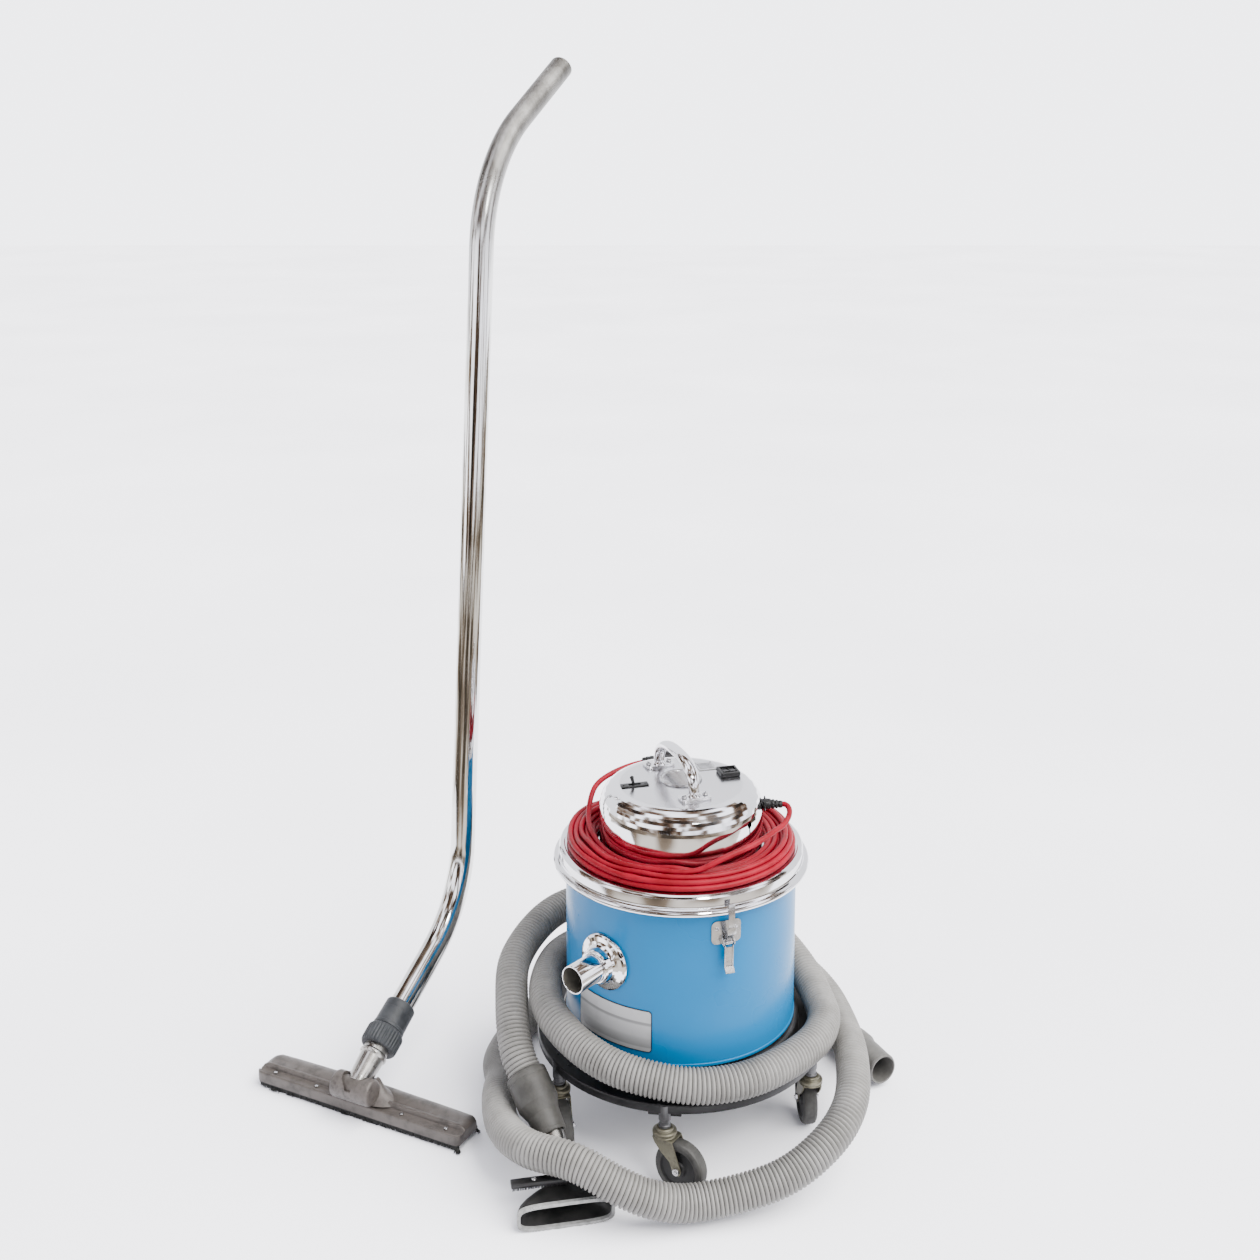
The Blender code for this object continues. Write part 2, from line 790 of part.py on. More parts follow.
def float_cage():
    profile = [
        (0.0, 0.3005),
        (0.0375, 0.3005),
        (0.0375, 0.3697),
        (0.0400, 0.3697),
        (0.0400, 0.2980),
        (0.0, 0.2980),
    ]
    cage = add("float_cage", turned_mesh(profile, 20), STEEL)
    for index in range(3):
        slot = box_mesh((0.10, 0.014, 0.046), (0, 0, 0.333))
        boolean(cage, cutter("cage_slot_%d" % index, slot, turn=about_z(60.0 * index)))


# ------------------------------------------------------------------ power cord

def cord_coil():
    wide = (COIL_OUT - COIL_IN) / 2
    tall = (COIL_HIGH - COIL_LOW) / 2
    profile = []
    for k in range(10):
        a = math.radians(108 - 36 * k)
        x = math.copysign(abs(math.cos(a)) ** 0.75, math.cos(a))
        z = math.copysign(abs(math.sin(a)) ** 0.75, math.sin(a))
        x = max(-1.0, min(1.0, 1.12 * x))
        z = max(-1.0, min(1.0, 1.12 * z))
        profile.append(((COIL_OUT + COIL_IN) / 2 + wide * x, (COIL_HIGH + COIL_LOW) / 2 + tall * z))
    add("cord_coil", turned_mesh(profile, 30, closed=True), RED)


def cord_lead():
    start = polar(0.1143 + 0.0303 + GAP, RELIEF_ANGLE, RELIEF_Z)
    route = [
        start,
        polar(0.1495, RELIEF_ANGLE, RELIEF_Z),
        polar(0.1545, RELIEF_ANGLE - 4.5, RELIEF_Z - 0.0020),
        polar(0.1550, RELIEF_ANGLE - 10.0, RELIEF_Z - 0.0062),
        polar(0.1510, RELIEF_ANGLE - 18.0, COIL_HIGH + CORD_R + 0.0006),
        polar(0.1460, RELIEF_ANGLE - 26.0, COIL_HIGH + CORD_R + GAP),
    ]
    mesh = curve_mesh(smooth_route(route, 0.006), CORD_R, 2)
    add("cord_lead", mesh, RED)


def plug():
    """The mains plug, lying on the winding behind the dome."""
    body = [
        (0.0, 0.0),
        (0.0120, 0.0),
        (0.0165, -0.003),
        (0.0165, -0.016),
        (0.0110, -0.026),
        (0.0085, -0.040),
        (0.0062, -0.050),
        (0.0, -0.050),
    ]
    meshes = [turned_mesh(body, 20)]
    for side in (-1, 1):
        meshes.append(box_mesh((0.0015, 0.0063, 0.020), (side * 0.0064, 0, 0.008)))
    meshes.append(rod_mesh(0.0024, 0.022, 10, (0, 0.0078, 0.009)))
    spot = polar(0.1415, 92.0, COIL_HIGH + 0.0165 + GAP)
    add("plug", joined(meshes), BLACK, spot, along(polar(1.0, 2.0, 0.0)))


# ------------------------------------------------------------------ hose and hand tool

HOSE_POINTS = (
    (-0.2180, -0.1300, 0.1200),
    (-0.2325, -0.1050, 0.1415),
    (-0.2425, -0.0430, 0.1760),
    (-0.2410, 0.0450, 0.2000),
    (-0.1900, 0.1560, 0.2130),
    (-0.1000, 0.2170, 0.2120),
    (0.0000, 0.2280, 0.2080),
    (0.0910, 0.1950, 0.1980),
    (0.1480, 0.1440, 0.1820),
    (0.1850, 0.0830, 0.1620),
    (0.2030, 0.0150, 0.1490),
    (0.2060, -0.0400, 0.1465),
    (0.1780, -0.1050, 0.1470),
    (0.1020, -0.1760, 0.1470),
    (0.0210, -0.2010, 0.1472),
    (-0.0600, -0.1920, 0.1560),
    (-0.1150, -0.1660, 0.1640),
    (-0.1600, -0.1240, 0.1760),
    (-0.1890, -0.0730, 0.1880),
    (-0.1940, 0.0000, 0.1900),
    (-0.1720, 0.0900, 0.1830),
    (-0.1050, 0.1700, 0.1660),
    (0.0000, 0.2040, 0.1480),
    (0.0660, 0.2060, 0.1480),
    (0.1290, 0.1930, 0.1400),
    (0.1850, 0.1560, 0.1240),
    (0.2230, 0.0960, 0.1110),
    (0.2400, 0.0160, 0.1050),
    (0.2430, -0.0700, 0.1060),
    (0.2300, -0.1600, 0.0980),
    (0.1930, -0.2180, 0.0780),
    (0.1240, -0.2580, 0.0500),
    (0.0200, -0.2790, 0.0330),
    (-0.0400, -0.2900, 0.0430),
    (-0.0900, -0.2860, 0.0620),
    (-0.1460, -0.2680, 0.0825),
    (-0.2090, -0.2360, 0.0800),
    (-0.2460, -0.1720, 0.0680),
    (-0.2585, -0.1000, 0.0640),
    (-0.2610, -0.0200, 0.0385),
    (-0.2700, 0.0560, 0.0258),
    (-0.2440, 0.1440, 0.0250),
    (-0.1960, 0.2185, 0.0250),
    (-0.1100, 0.2720, 0.0250),
    (-0.0100, 0.2900, 0.0250),
    (0.0900, 0.2790, 0.0250),
    (0.1730, 0.2380, 0.0250),
    (0.2210, 0.1850, 0.0255),
    (0.2515, 0.1190, 0.0275),
    (0.2660, 0.0920, 0.0290),
)

NECK_START = (-0.1785, -0.1900, 0.0675)
NECK_END = (-0.1690, -0.2370, 0.0300)
CUFF_MOUTH = (0.3040, 0.0210, 0.0290)


def hose():
    """One long tube; a short straight end meets each cuff squarely."""
    route = smooth_route(HOSE_POINTS, 0.056)
    first = (route[0] - Vector(NECK_START)).normalized()
    last = (route[-1] - Vector(CUFF_MOUTH)).normalized()
    route.insert(1, route[0] + first * 0.015)
    route.insert(-1, route[-1] + last * 0.015)
    mesh = curve_mesh(route, HOSE_R, 2)
    add("hose", mesh, ((0.45, 0.45, 0.46), 0.5))


def cuff_profile(length, wide, narrow, step_at):
    """A hose cuff with its sleeve end at z = 0 and its mouth at z = length. It has a bore."""
    bore = narrow - 0.0030
    return [
        (bore, length),
        (narrow - 0.0008, length),
        (narrow, length - 0.0010),
        (narrow + 0.0016, step_at + 0.004),
        (wide - 0.0006, step_at),
        (wide, step_at - 0.006),
        (wide - 0.0004, 0.003),
        (wide - 0.0030, 0.0),
        (0.0060, 0.0),
        (0.0060, 0.004),
        (bore, 0.010),
    ]


def tool_cuff():
    start = Vector(HOSE_POINTS[0])
    way = Vector(NECK_START) - start
    begin = start + way.normalized() * GAP
    length = way.length - 2 * GAP
    mesh = turned_mesh(cuff_profile(length, 0.0290, 0.0212, 0.050), 16, closed=True)
    add("tool_cuff", mesh, GREY_VINYL, begin, along(way))


def machine_cuff():
    start = Vector(HOSE_POINTS[-1])
    way = Vector(CUFF_MOUTH) - start
    begin = start + way.normalized() * GAP
    mesh = turned_mesh(cuff_profile(way.length, 0.0272, 0.0225, 0.030), 16, closed=True)
    add("machine_cuff", mesh, GREY_VINYL, begin, along(way))


def tool_frame():
    return about_z(MOUTH_ANGLE)


def tool_neck():
    """The bent metal tube between the cuff and the hand tool, with a clear bore."""
    start = Vector(NECK_START)
    end = Vector(NECK_END)
    first = (start - Vector(HOSE_POINTS[0])).normalized()
    last = (Vector(MOUTH) - end).normalized()
    middle = smooth_route([start + first * 0.007, start.lerp(end, 0.55), end - last * 0.006], 0.014)
    route = [start + first * GAP] + middle + [end]
    mesh = curve_mesh(route, 0.0160, 4, caps=False)
    part = add("tool_neck", mesh, CHROME)
    mod = part.modifiers.new("Wall", "SOLIDIFY")
    mod.thickness = 0.0014
    mod.offset = -1.0


def hand_tool():
    """The upholstery nozzle: a flared shell from the neck to a wide slot mouth."""
    count = 24
    end = Vector(NECK_END)
    mouth = Vector(MOUTH)
    frame = tool_frame()
    wide = frame @ Vector((1, 0, 0))
    bm = bmesh.new()
    rings = []
    way = (mouth - end).normalized()
    level = Vector((0, 0, 1))
    lean = way.cross(wide).normalized()
    lean = lean if lean.z > 0 else -lean
    sections = (
        (end + way * 0.0015, 0.0165, 0.0165, 1.0, lean),
        (end + way * 0.010, 0.0185, 0.0170, 0.95, lean),
        (end.lerp(mouth, 0.62), 0.0500, 0.0165, 0.6, level),
        (mouth, 0.0640, 0.0182, 0.45, level),
    )
    for centre, half_w, half_h, power, up in sections:
        ring = []
        for k in range(count):
            a = 2 * math.pi * k / count
            x = math.copysign(abs(math.cos(a)) ** power, math.cos(a)) * half_w
            z = math.copysign(abs(math.sin(a)) ** power, math.sin(a)) * half_h
            ring.append(bm.verts.new(centre + wide * x + up * z))
        rings.append(ring)
    for one, two in zip(rings, rings[1:]):
        for i in range(count):
            j = (i + 1) % count
            bm.faces.new((one[i], two[i], two[j], one[j]))
    bmesh.ops.recalc_face_normals(bm, faces=bm.faces)
    mesh = bpy.data.meshes.new("hand_tool")
    bm.to_mesh(mesh)
    bm.free()
    part = add("hand_tool", mesh, GREY_VINYL)
    mod = part.modifiers.new("Wall", "SOLIDIFY")
    mod.thickness = 0.0018
    mod.offset = -1.0


def tool_rim():
    """The pale serrated lip round the mouth."""
    frame = tool_frame()
    outer = []
    inner = []
    count = 28
    for k in range(count):
        a = 2 * math.pi * k / count
        x = math.copysign(abs(math.cos(a)) ** 0.45, math.cos(a))
        z = math.copysign(abs(math.sin(a)) ** 0.45, math.sin(a))
        outer.append((0.0645 * x, 0.0183 * z))
        inner.append((0.0600 * x, 0.0140 * z))
    bm = bmesh.new()
    loops = []
    for points, y in ((outer, -0.0020), (outer, -0.0078), (inner, -0.0078), (inner, -0.0020)):
        loops.append([bm.verts.new((x, y, z)) for x, z in points])
    for i in range(4):
        one = loops[i]
        two = loops[(i + 1) % 4]
        for k in range(count):
            j = (k + 1) % count
            bm.faces.new((one[k], one[j], two[j], two[k]))
    bmesh.ops.recalc_face_normals(bm, faces=bm.faces)
    mesh = bpy.data.meshes.new("tool_rim")
    bm.to_mesh(mesh)
    bm.free()
    add("tool_rim", mesh, WHITE, MOUTH, frame)


def tool_brush():
    """The brush holder lying across the top of the hand tool, and its screw."""
    frame = tool_frame()
    spot = Vector(MOUTH) + frame @ Vector((-0.030, 0.022, 0.0319))
    part = add("tool_brush", box_mesh((0.078, 0.014, 0.010)), BLACK, spot, frame)
    bevel(part, 0.0015)
    screw = rod_mesh(0.0035, 0.0020, 12, (0, 0, 0.005 + GAP + 0.001))
    add("brush_screw", screw, STEEL, spot + frame @ Vector((-0.008, 0, 0)))


# ------------------------------------------------------------------ wand and floor tool

def tool_turn():
    """Local +X along the floor tool, local +Y back along the wand's plane."""
    return about_z(TOOL_ANGLE)


def on_plane(s, z):
    return Vector((TOOL_X, TOOL_Y, 0)) + tool_turn() @ Vector((0, s, 0)) + Vector((0, 0, z))


def neck_axis():
    slope = math.radians(NECK_SLOPE)
    return tool_turn() @ Vector((0, math.cos(slope), math.sin(slope)))


def neck_point(t):
    slope = math.radians(NECK_SLOPE)
    return (NECK_S + t * math.cos(slope), NECK_Z + t * math.sin(slope))


def wand_tube():
    corners = (neck_point(0.0955), (0.2890, 0.2050), (0.3926, 1.3585), (0.6350, 1.5070))
    route = bent_route(corners, (0.180, 0.250), 7)
    points = [on_plane(p.x, p.y) for p in route]
    origin = points[0].copy()
    mesh = curve_mesh([p - origin for p in points], TUBE_R, 5, caps=False)
    part = add("wand_tube", mesh, CHROME, origin)
    mod = part.modifiers.new("Wall", "SOLIDIFY")
    mod.thickness = TUBE_R - TUBE_BORE
    mod.offset = -1.0


def wand_collar():
    inner = TUBE_R + GAP
    profile = [
        (inner, 0.042),
        (0.0222, 0.042),
        (0.0232, 0.041),
        (0.0240, 0.003),
        (0.0235, 0.0),
        (inner, 0.0),
    ]
    origin = on_plane(*neck_point(0.0945))
    add("wand_collar", turned_mesh(profile, 20, closed=True), GREY_VINYL, origin, along(neck_axis()))


def collar_nut():
    inner = TUBE_R + GAP
    outer = [
        (inner, 0.030),
        (0.0250, 0.030),
        (0.0275, 0.027),
        (0.0285, 0.016),
        (0.0285, 0.003),
        (0.0265, 0.0),
        (inner, 0.0),
    ]
    origin = on_plane(*neck_point(0.0642))
    add("collar_nut", turned_mesh(outer, 20, closed=True), BLACK, origin, along(neck_axis()))


def floor_neck():
    """The swivelling neck: a barrel lying along the tool and a spigot for the wand."""
    barrel = rod_mesh(0.0150, 0.052, 20, (0, 0, 0), "X")
    slope = math.radians(90.0 - NECK_SLOPE)
    lay = Matrix.Rotation(-slope, 4, "X")
    spigot = [
        (0.0, 0.0950),
        (TUBE_R, 0.0950),
        (TUBE_R, 0.0560),
        (0.0205, 0.0550),
        (0.0215, 0.0530),
        (0.0205, 0.0510),
        (TUBE_R, 0.0500),
        (0.0170, 0.0200),
        (0.0150, 0.0060),
        (0.0, 0.0060),
    ]
    tube = moved(turned_mesh(spigot, 18), lay)
    body = joined([barrel, tube])
    part = add("floor_neck", body, CHROME, on_plane(NECK_S, NECK_Z), tool_turn())
    bore = moved(rod_mesh(TUBE_BORE - 0.004, 0.20, 14, (0, 0, 0.070)), lay)
    hole = cutter("neck_bore", bore, on_plane(NECK_S, NECK_Z), tool_turn())
    boolean(part, hole)


def floor_body():
    """The floor tool's cast body: stepped back, open below, with a saddle for the neck."""
    length = TOOL_LENGTH
    section = [
        (-0.003, 0.010),
        (-0.003, 0.026),
        (0.004, 0.031),
        (0.026, 0.0335),
        (0.046, 0.0305),
        (0.055, 0.0255),
        (0.055, 0.010),
    ]
    mesh = outline_mesh(section, -length / 2, length / 2)
    mesh = moved(mesh, Matrix.Rotation(math.pi / 2, 4, "Z"))
    frame = tool_turn()
    block = box_mesh((0.0635, 0.036, 0.024), (0, 0.014, 0.0320))
    body = joined([mesh, block])
    part = add("floor_body", body, ((0.17, 0.155, 0.14), 0.45, 0.8), (TOOL_X, TOOL_Y, 0), frame)
    hollow = box_mesh((length - 0.016, 0.040, 0.020), (0, 0.026, 0.0120))
    boolean(part, cutter("tool_hollow", hollow, (TOOL_X, TOOL_Y, 0), frame))
    saddle = rod_mesh(0.0150 + GAP, 0.052 + 2 * GAP, 20, (0, 0, 0), "X")
    boolean(part, cutter("neck_saddle", saddle, on_plane(NECK_S, NECK_Z), frame))
    throat = box_mesh((0.044, 0.036, 0.034), (0, 0.020, 0.0320))
    boolean(part, cutter("neck_throat", throat, (TOOL_X, TOOL_Y, 0), frame))


def bristles():
    frame = tool_turn()
    for name, y in (("bristles_front", 0.0022), ("bristles_rear", 0.0498)):
        strip = box_mesh((TOOL_LENGTH - 0.006, 0.0060, 0.0094), (0, y, 0.0050))
        add(name, strip, BLACK, (TOOL_X, TOOL_Y, 0), frame)


# ------------------------------------------------------------------ assembly

def place_all():
    shift = Vector((AXIS_X, AXIS_Y, 0))
    for obj in bpy.data.objects:
        obj.location = obj.location + shift


clear_scene()
PARTS = make_collection("canister_vacuum")
CUTTERS = make_collection("cutters", hidden=True)
dolly_tray()
casters()
drum_shell()
inlet()
nameplate()
for number, latch_angle in enumerate(LATCH_ANGLES, start=1):
    latch(number, latch_angle)
lid()
lid_gasket()
dome()
vent_grille()
toggle()
rockers()
rating_plate()
handle()
strain_relief()
motor()
fan_housing()
filter_cup()
float_cage()
cord_coil()
cord_lead()
plug()
hose()
tool_cuff()
machine_cuff()
tool_neck()
hand_tool()
tool_rim()
tool_brush()
wand_tube()
wand_collar()
collar_nut()
floor_neck()
floor_body()
bristles()
place_all()
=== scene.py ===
"""Visual model of a canister vacuum cleaner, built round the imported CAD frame. Metres."""
import math
import random

import bmesh
import bpy
import numpy as np
from mathutils import Matrix, Vector


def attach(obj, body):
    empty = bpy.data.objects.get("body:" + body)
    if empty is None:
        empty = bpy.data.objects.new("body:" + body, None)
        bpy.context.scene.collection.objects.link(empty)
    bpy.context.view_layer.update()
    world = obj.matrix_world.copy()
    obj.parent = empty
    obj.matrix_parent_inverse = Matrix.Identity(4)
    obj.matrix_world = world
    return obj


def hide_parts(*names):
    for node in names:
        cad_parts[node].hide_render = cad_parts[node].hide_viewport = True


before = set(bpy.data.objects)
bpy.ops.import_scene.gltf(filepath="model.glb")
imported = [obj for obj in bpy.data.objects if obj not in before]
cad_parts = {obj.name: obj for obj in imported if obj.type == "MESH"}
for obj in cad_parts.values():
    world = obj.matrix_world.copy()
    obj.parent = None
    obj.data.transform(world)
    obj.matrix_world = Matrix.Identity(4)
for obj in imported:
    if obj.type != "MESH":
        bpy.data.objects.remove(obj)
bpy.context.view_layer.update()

AXIS = Vector((0.2113, -0.14353, 0.0))
GAP = 0.0003
random.seed(7)
RNG = np.random.default_rng(7)

# Heights and radii of the canister.
DRUM_R = 0.165
DRUM_BOTTOM = 0.150
DRUM_TOP = 0.398
LID_TOP = 0.405
DOME_TOP = 0.4915
HEAD_TURN = 14.5
CORD_R = 0.004
RELIEF_ANGLE = -4.0
RELIEF_Z = 0.463
INLET_ANGLE = -130.6
INLET_Z = 0.286
CASTER_ANGLES = (-97.5, -149.5, -24.0, 54.0, 132.0)
CASTER_TRAILS = (-32.0, -76.0, 96.0, 140.0, 215.0)
RACE_TOP = 0.088
TUBE_R = 0.019
TOOL = Vector((-0.470, -0.053, 0.0))
TOOL_ANGLE = -26.6
NECK_SLOPE = 28.5
NECK_Z = 0.0478


# ------------------------------------------------------------------ geometry helpers

def polar(radius, degrees, z=0.0):
    a = math.radians(degrees)
    return Vector((radius * math.cos(a), radius * math.sin(a), z))


def about_z(degrees):
    return Matrix.Rotation(math.radians(degrees), 3, "Z")


def along(direction):
    """The turn that takes +Z to the direction, with +X kept level."""
    z = Vector(direction).normalized()
    x = Vector((0, 0, 1)).cross(z)
    x = x.normalized() if x.length > 1e-6 else Vector((1, 0, 0))
    y = z.cross(x)
    return Matrix((x, y, z)).transposed()


def rounded(profile, radius, closed=False, steps=4):
    """The profile with each corner turned into an arc, as far as its edges allow."""
    pts = [Vector(p) for p in profile]
    n = len(pts)
    out = []
    for i, p in enumerate(pts):
        if not closed and i in (0, n - 1):
            out.append(p)
            continue
        a, b = pts[i - 1], pts[(i + 1) % n]
        u, v = a - p, b - p
        if u.length < 1e-9 or v.length < 1e-9:
            continue
        turn = math.pi - u.angle(v)
        if turn < 0.09:
            out.append(p)
            continue
        reach = min(radius * math.tan(turn / 2), 0.45 * u.length, 0.45 * v.length)
        one = p + u.normalized() * reach
        two = p + v.normalized() * reach
        for k in range(steps + 1):
            t = k / steps
            out.append((1 - t) ** 2 * one + 2 * t * (1 - t) * p + t * t * two)
    return out


def finish_mesh(bm, name, angle=38.0):
    bmesh.ops.remove_doubles(bm, verts=bm.verts, dist=1e-6)
    bmesh.ops.recalc_face_normals(bm, faces=bm.faces)
    mesh = bpy.data.meshes.new(name)
    bm.to_mesh(mesh)
    bm.free()
    mesh.shade_smooth()
    mesh.set_sharp_from_angle(angle=math.radians(angle))
    return mesh


def lathe(profile, segments, closed=False, fillet=0.0):
    """A profile of (radius, height) turned round Z."""
    pts = rounded(profile, fillet, closed) if fillet else [Vector(p) for p in profile]
    bm = bmesh.new()
    rings = []
    for p in pts:
        if p[0] < 1e-7:
            rings.append([bm.verts.new((0, 0, p[1]))])
            continue
        ring = []
        for k in range(segments):
            a = 2 * math.pi * k / segments
            ring.append(bm.verts.new((p[0] * math.cos(a), p[0] * math.sin(a), p[1])))
        rings.append(ring)
    pairs = list(zip(rings, rings[1:]))
    if closed:
        pairs.append((rings[-1], rings[0]))
    for one, two in pairs:
        for k in range(segments):
            j = (k + 1) % segments
            if len(one) == 1 and len(two) == 1:
                break
            if len(one) == 1:
                bm.faces.new((one[0], two[k], two[j]))
            elif len(two) == 1:
                bm.faces.new((one[k], two[0], one[j]))
            else:
                bm.faces.new((one[k], two[k], two[j], one[j]))
    return bm


def box(size, centre=(0, 0, 0), bevel=0.0, segments=3):
    bm = bmesh.new()
    bmesh.ops.create_cube(bm, size=1.0)
    bmesh.ops.scale(bm, vec=size, verts=bm.verts)
    bmesh.ops.translate(bm, vec=centre, verts=bm.verts)
    if bevel:
        bmesh.ops.bevel(
            bm, geom=bm.edges[:], offset=bevel, segments=segments, affect="EDGES", profile=0.5
        )
    return bm


def rod(radius, length, segments=32, centre=(0, 0, 0), axis="Z", bevel=0.0, radius_2=None):
    """A straight round bar with softened ends, along one axis."""
    top = radius if radius_2 is None else radius_2
    half = length / 2
    profile = [(0, half), (top, half), (radius, -half), (0, -half)]
    bm = lathe(profile, segments, fillet=bevel)
    if axis == "X":
        bm.transform(Matrix.Rotation(math.pi / 2, 4, "Y"))
    if axis == "Y":
        bm.transform(Matrix.Rotation(-math.pi / 2, 4, "X"))
    bmesh.ops.translate(bm, vec=centre, verts=bm.verts)
    return bm


def outline(points, low, high, bevel=0.0, plane="XZ", segments=3):
    """A flat outline in XZ (or XY) given a thickness along the third axis."""
    bm = bmesh.new()
    if plane == "XZ":
        verts = [bm.verts.new((x, low, z)) for x, z in points]
        push = (0, high - low, 0)
    else:
        verts = [bm.verts.new((x, y, low)) for x, y in points]
        push = (0, 0, high - low)
    face = bm.faces.new(verts)
    made = bmesh.ops.extrude_face_region(bm, geom=[face])
    moved = [v for v in made["geom"] if isinstance(v, bmesh.types.BMVert)]
    bmesh.ops.translate(bm, vec=push, verts=moved)
    bmesh.ops.recalc_face_normals(bm, faces=bm.faces)
    if bevel:
        edges = [e for e in bm.edges if e.calc_face_angle(0) > 0.5]
        bmesh.ops.bevel(
            bm, geom=edges, offset=bevel, segments=segments, affect="EDGES", clamp_overlap=True
        )
    return bm


def merge(*parts):
    """Several bmeshes as one."""
    out = bmesh.new()
    for part in parts:
        mesh = bpy.data.meshes.new("part")
        part.to_mesh(mesh)
        part.free()
        out.from_mesh(mesh)
        bpy.data.meshes.remove(mesh)
    return out


def moved(bm, matrix):
    bm.transform(matrix if len(matrix) == 4 else matrix.to_4x4())
    return bm


def shift(bm, by):
    bmesh.ops.translate(bm, vec=by, verts=bm.verts)
    return bm


def tube(path, radius, sides, radii=None, caps=True, squash=None):
    """A round tube along a path, with a frame that doesn't twist."""
    pts = [Vector(p) for p in path]
    bm = bmesh.new()
    rings = []
    ways = []
    for i in range(len(pts)):
        a = pts[max(0, i - 1)]
        b = pts[min(len(pts) - 1, i + 1)]
        ways.append((b - a).normalized())
    up = Vector((0, 0, 1)) if abs(ways[0].z) < 0.9 else Vector((1, 0, 0))
    side = ways[0].cross(up).normalized()
    for i, p in enumerate(pts):
        side = (side - ways[i] * side.dot(ways[i])).normalized()
        other = ways[i].cross(side)
        r = radii[i] if radii is not None else radius
        ring = []
        for k in range(sides):
            a = 2 * math.pi * k / sides
            sx = squash[i] if squash is not None else 1.0
            ring.append(
                bm.verts.new(p + side * (r * math.cos(a) * sx) + other * (r * math.sin(a)))
            )
        rings.append(ring)
    faces = []
    for one, two in zip(rings, rings[1:]):
        row = []
        for k in range(sides):
            j = (k + 1) % sides
            row.append(bm.faces.new((one[k], one[j], two[j], two[k])))
        faces.append(row)
    if caps:
        bm.faces.new(list(reversed(rings[0])))
        bm.faces.new(rings[-1])
    return bm, faces


def smooth_route(points, per_leg=24):
    """A dense smooth curve through the given points."""
    pts = [Vector(p) for p in points]
    pts = [2 * pts[0] - pts[1]] + pts + [2 * pts[-1] - pts[-2]]
    fine = []
    for i in range(1, len(pts) - 2):
        a, b, c, d = pts[i - 1], pts[i], pts[i + 1], pts[i + 2]
        for k in range(per_leg):
            t = k / per_leg
            fine.append(
                0.5 * (2 * b + (c - a) * t + (2 * a - 5 * b + 4 * c - d) * t * t
                       + (3 * b - a - 3 * c + d) * t * t * t)
            )
    fine.append(pts[-2])
    return np.array([list(p) for p in fine])


def evenly(points, step):
    """The same line with points a fixed distance apart, and its length."""
    points = np.asarray(points, float)
    gaps = np.linalg.norm(np.diff(points, axis=0), axis=1)
    at = np.concatenate([[0.0], np.cumsum(gaps)])
    count = max(2, int(round(at[-1] / step)))
    want = np.linspace(0.0, at[-1], count + 1)
    return np.stack([np.interp(want, at, points[:, i]) for i in range(3)], axis=1), at[-1]


def blurred(points, passes):
    points = np.array(points, float)
    for _ in range(passes):
        points[1:-1] = 0.25 * points[:-2] + 0.5 * points[1:-1] + 0.25 * points[2:]
    return points


# ------------------------------------------------------------------ materials

class Look:
    """A short way to write a node material."""

    def __init__(self, name, **values):
        self.mat = bpy.data.materials.new(name)
        self.mat.use_nodes = True
        self.tree = self.mat.node_tree
        self.shader = self.tree.nodes["Principled BSDF"]
        for key, value in values.items():
            self.set(key.replace("_", " "), value)
        self.coords = self.tree.nodes.new("ShaderNodeTexCoord").outputs["Object"]

    def set(self, socket, value):
        target = self.shader.inputs[socket]
        if isinstance(value, bpy.types.NodeSocket):
            self.tree.links.new(value, target)
        elif isinstance(value, (tuple, list)) and len(value) == 3:
            target.default_value = (*value, 1.0)
        else:
            target.default_value = value

    def node(self, kind, **inputs):
        made = self.tree.nodes.new(kind)
        for key, value in inputs.items():
            socket = made.inputs[key.replace("_", " ")]
            if isinstance(value, bpy.types.NodeSocket):
                self.tree.links.new(value, socket)
            else:
                socket.default_value = value
        return made

    def noise(self, scale, detail=4.0, rough=0.55, stretch=None):
        vector = self.coords
        if stretch is not None:
            mapping = self.node("ShaderNodeMapping", Vector=self.coords)
            mapping.inputs["Scale"].default_value = stretch
            vector = mapping.outputs["Vector"]
        made = self.node(
            "ShaderNodeTexNoise", Vector=vector, Scale=scale, Detail=detail, Roughness=rough
        )
        return made.outputs["Fac"]

    def ramp(self, factor, stops):
        made = self.node("ShaderNodeValToRGB", Fac=factor)
        bar = made.color_ramp
        while len(bar.elements) > 1:
            bar.elements.remove(bar.elements[-1])
        bar.elements[0].position = stops[0][0]
        bar.elements[0].color = self.colour(stops[0][1])
        for place, value in stops[1:]:
            bar.elements.new(place).color = self.colour(value)
        return made.outputs["Color"]

    @staticmethod
    def colour(value):
        return (value, value, value, 1.0) if isinstance(value, (int, float)) else (*value, 1.0)

    def range(self, factor, low, high, start=0.3, end=0.7):
        made = self.node("ShaderNodeMapRange", Value=factor)
        made.inputs["From Min"].default_value = start
        made.inputs["From Max"].default_value = end
        made.inputs["To Min"].default_value = low
        made.inputs["To Max"].default_value = high
        return made.outputs["Result"]

    def mix(self, factor, one, two):
        made = self.tree.nodes.new("ShaderNodeMix")
        made.data_type = "RGBA"
        ins = [s for s in made.inputs if s.type == "RGBA"]
        fac = made.inputs[0]
        for socket, value in ((fac, factor), (ins[0], one), (ins[1], two)):
            if isinstance(value, bpy.types.NodeSocket):
                self.tree.links.new(value, socket)
            elif isinstance(value, (tuple, list)):
                socket.default_value = (*value, 1.0)
            else:
                socket.default_value = value
        return [s for s in made.outputs if s.type == "RGBA"][0]

    def bump(self, height, strength, distance=0.001):
        made = self.node("ShaderNodeBump", Height=height)
        made.inputs["Strength"].default_value = strength
        made.inputs["Distance"].default_value = distance
        self.tree.links.new(made.outputs["Normal"], self.shader.inputs["Normal"])
        return self


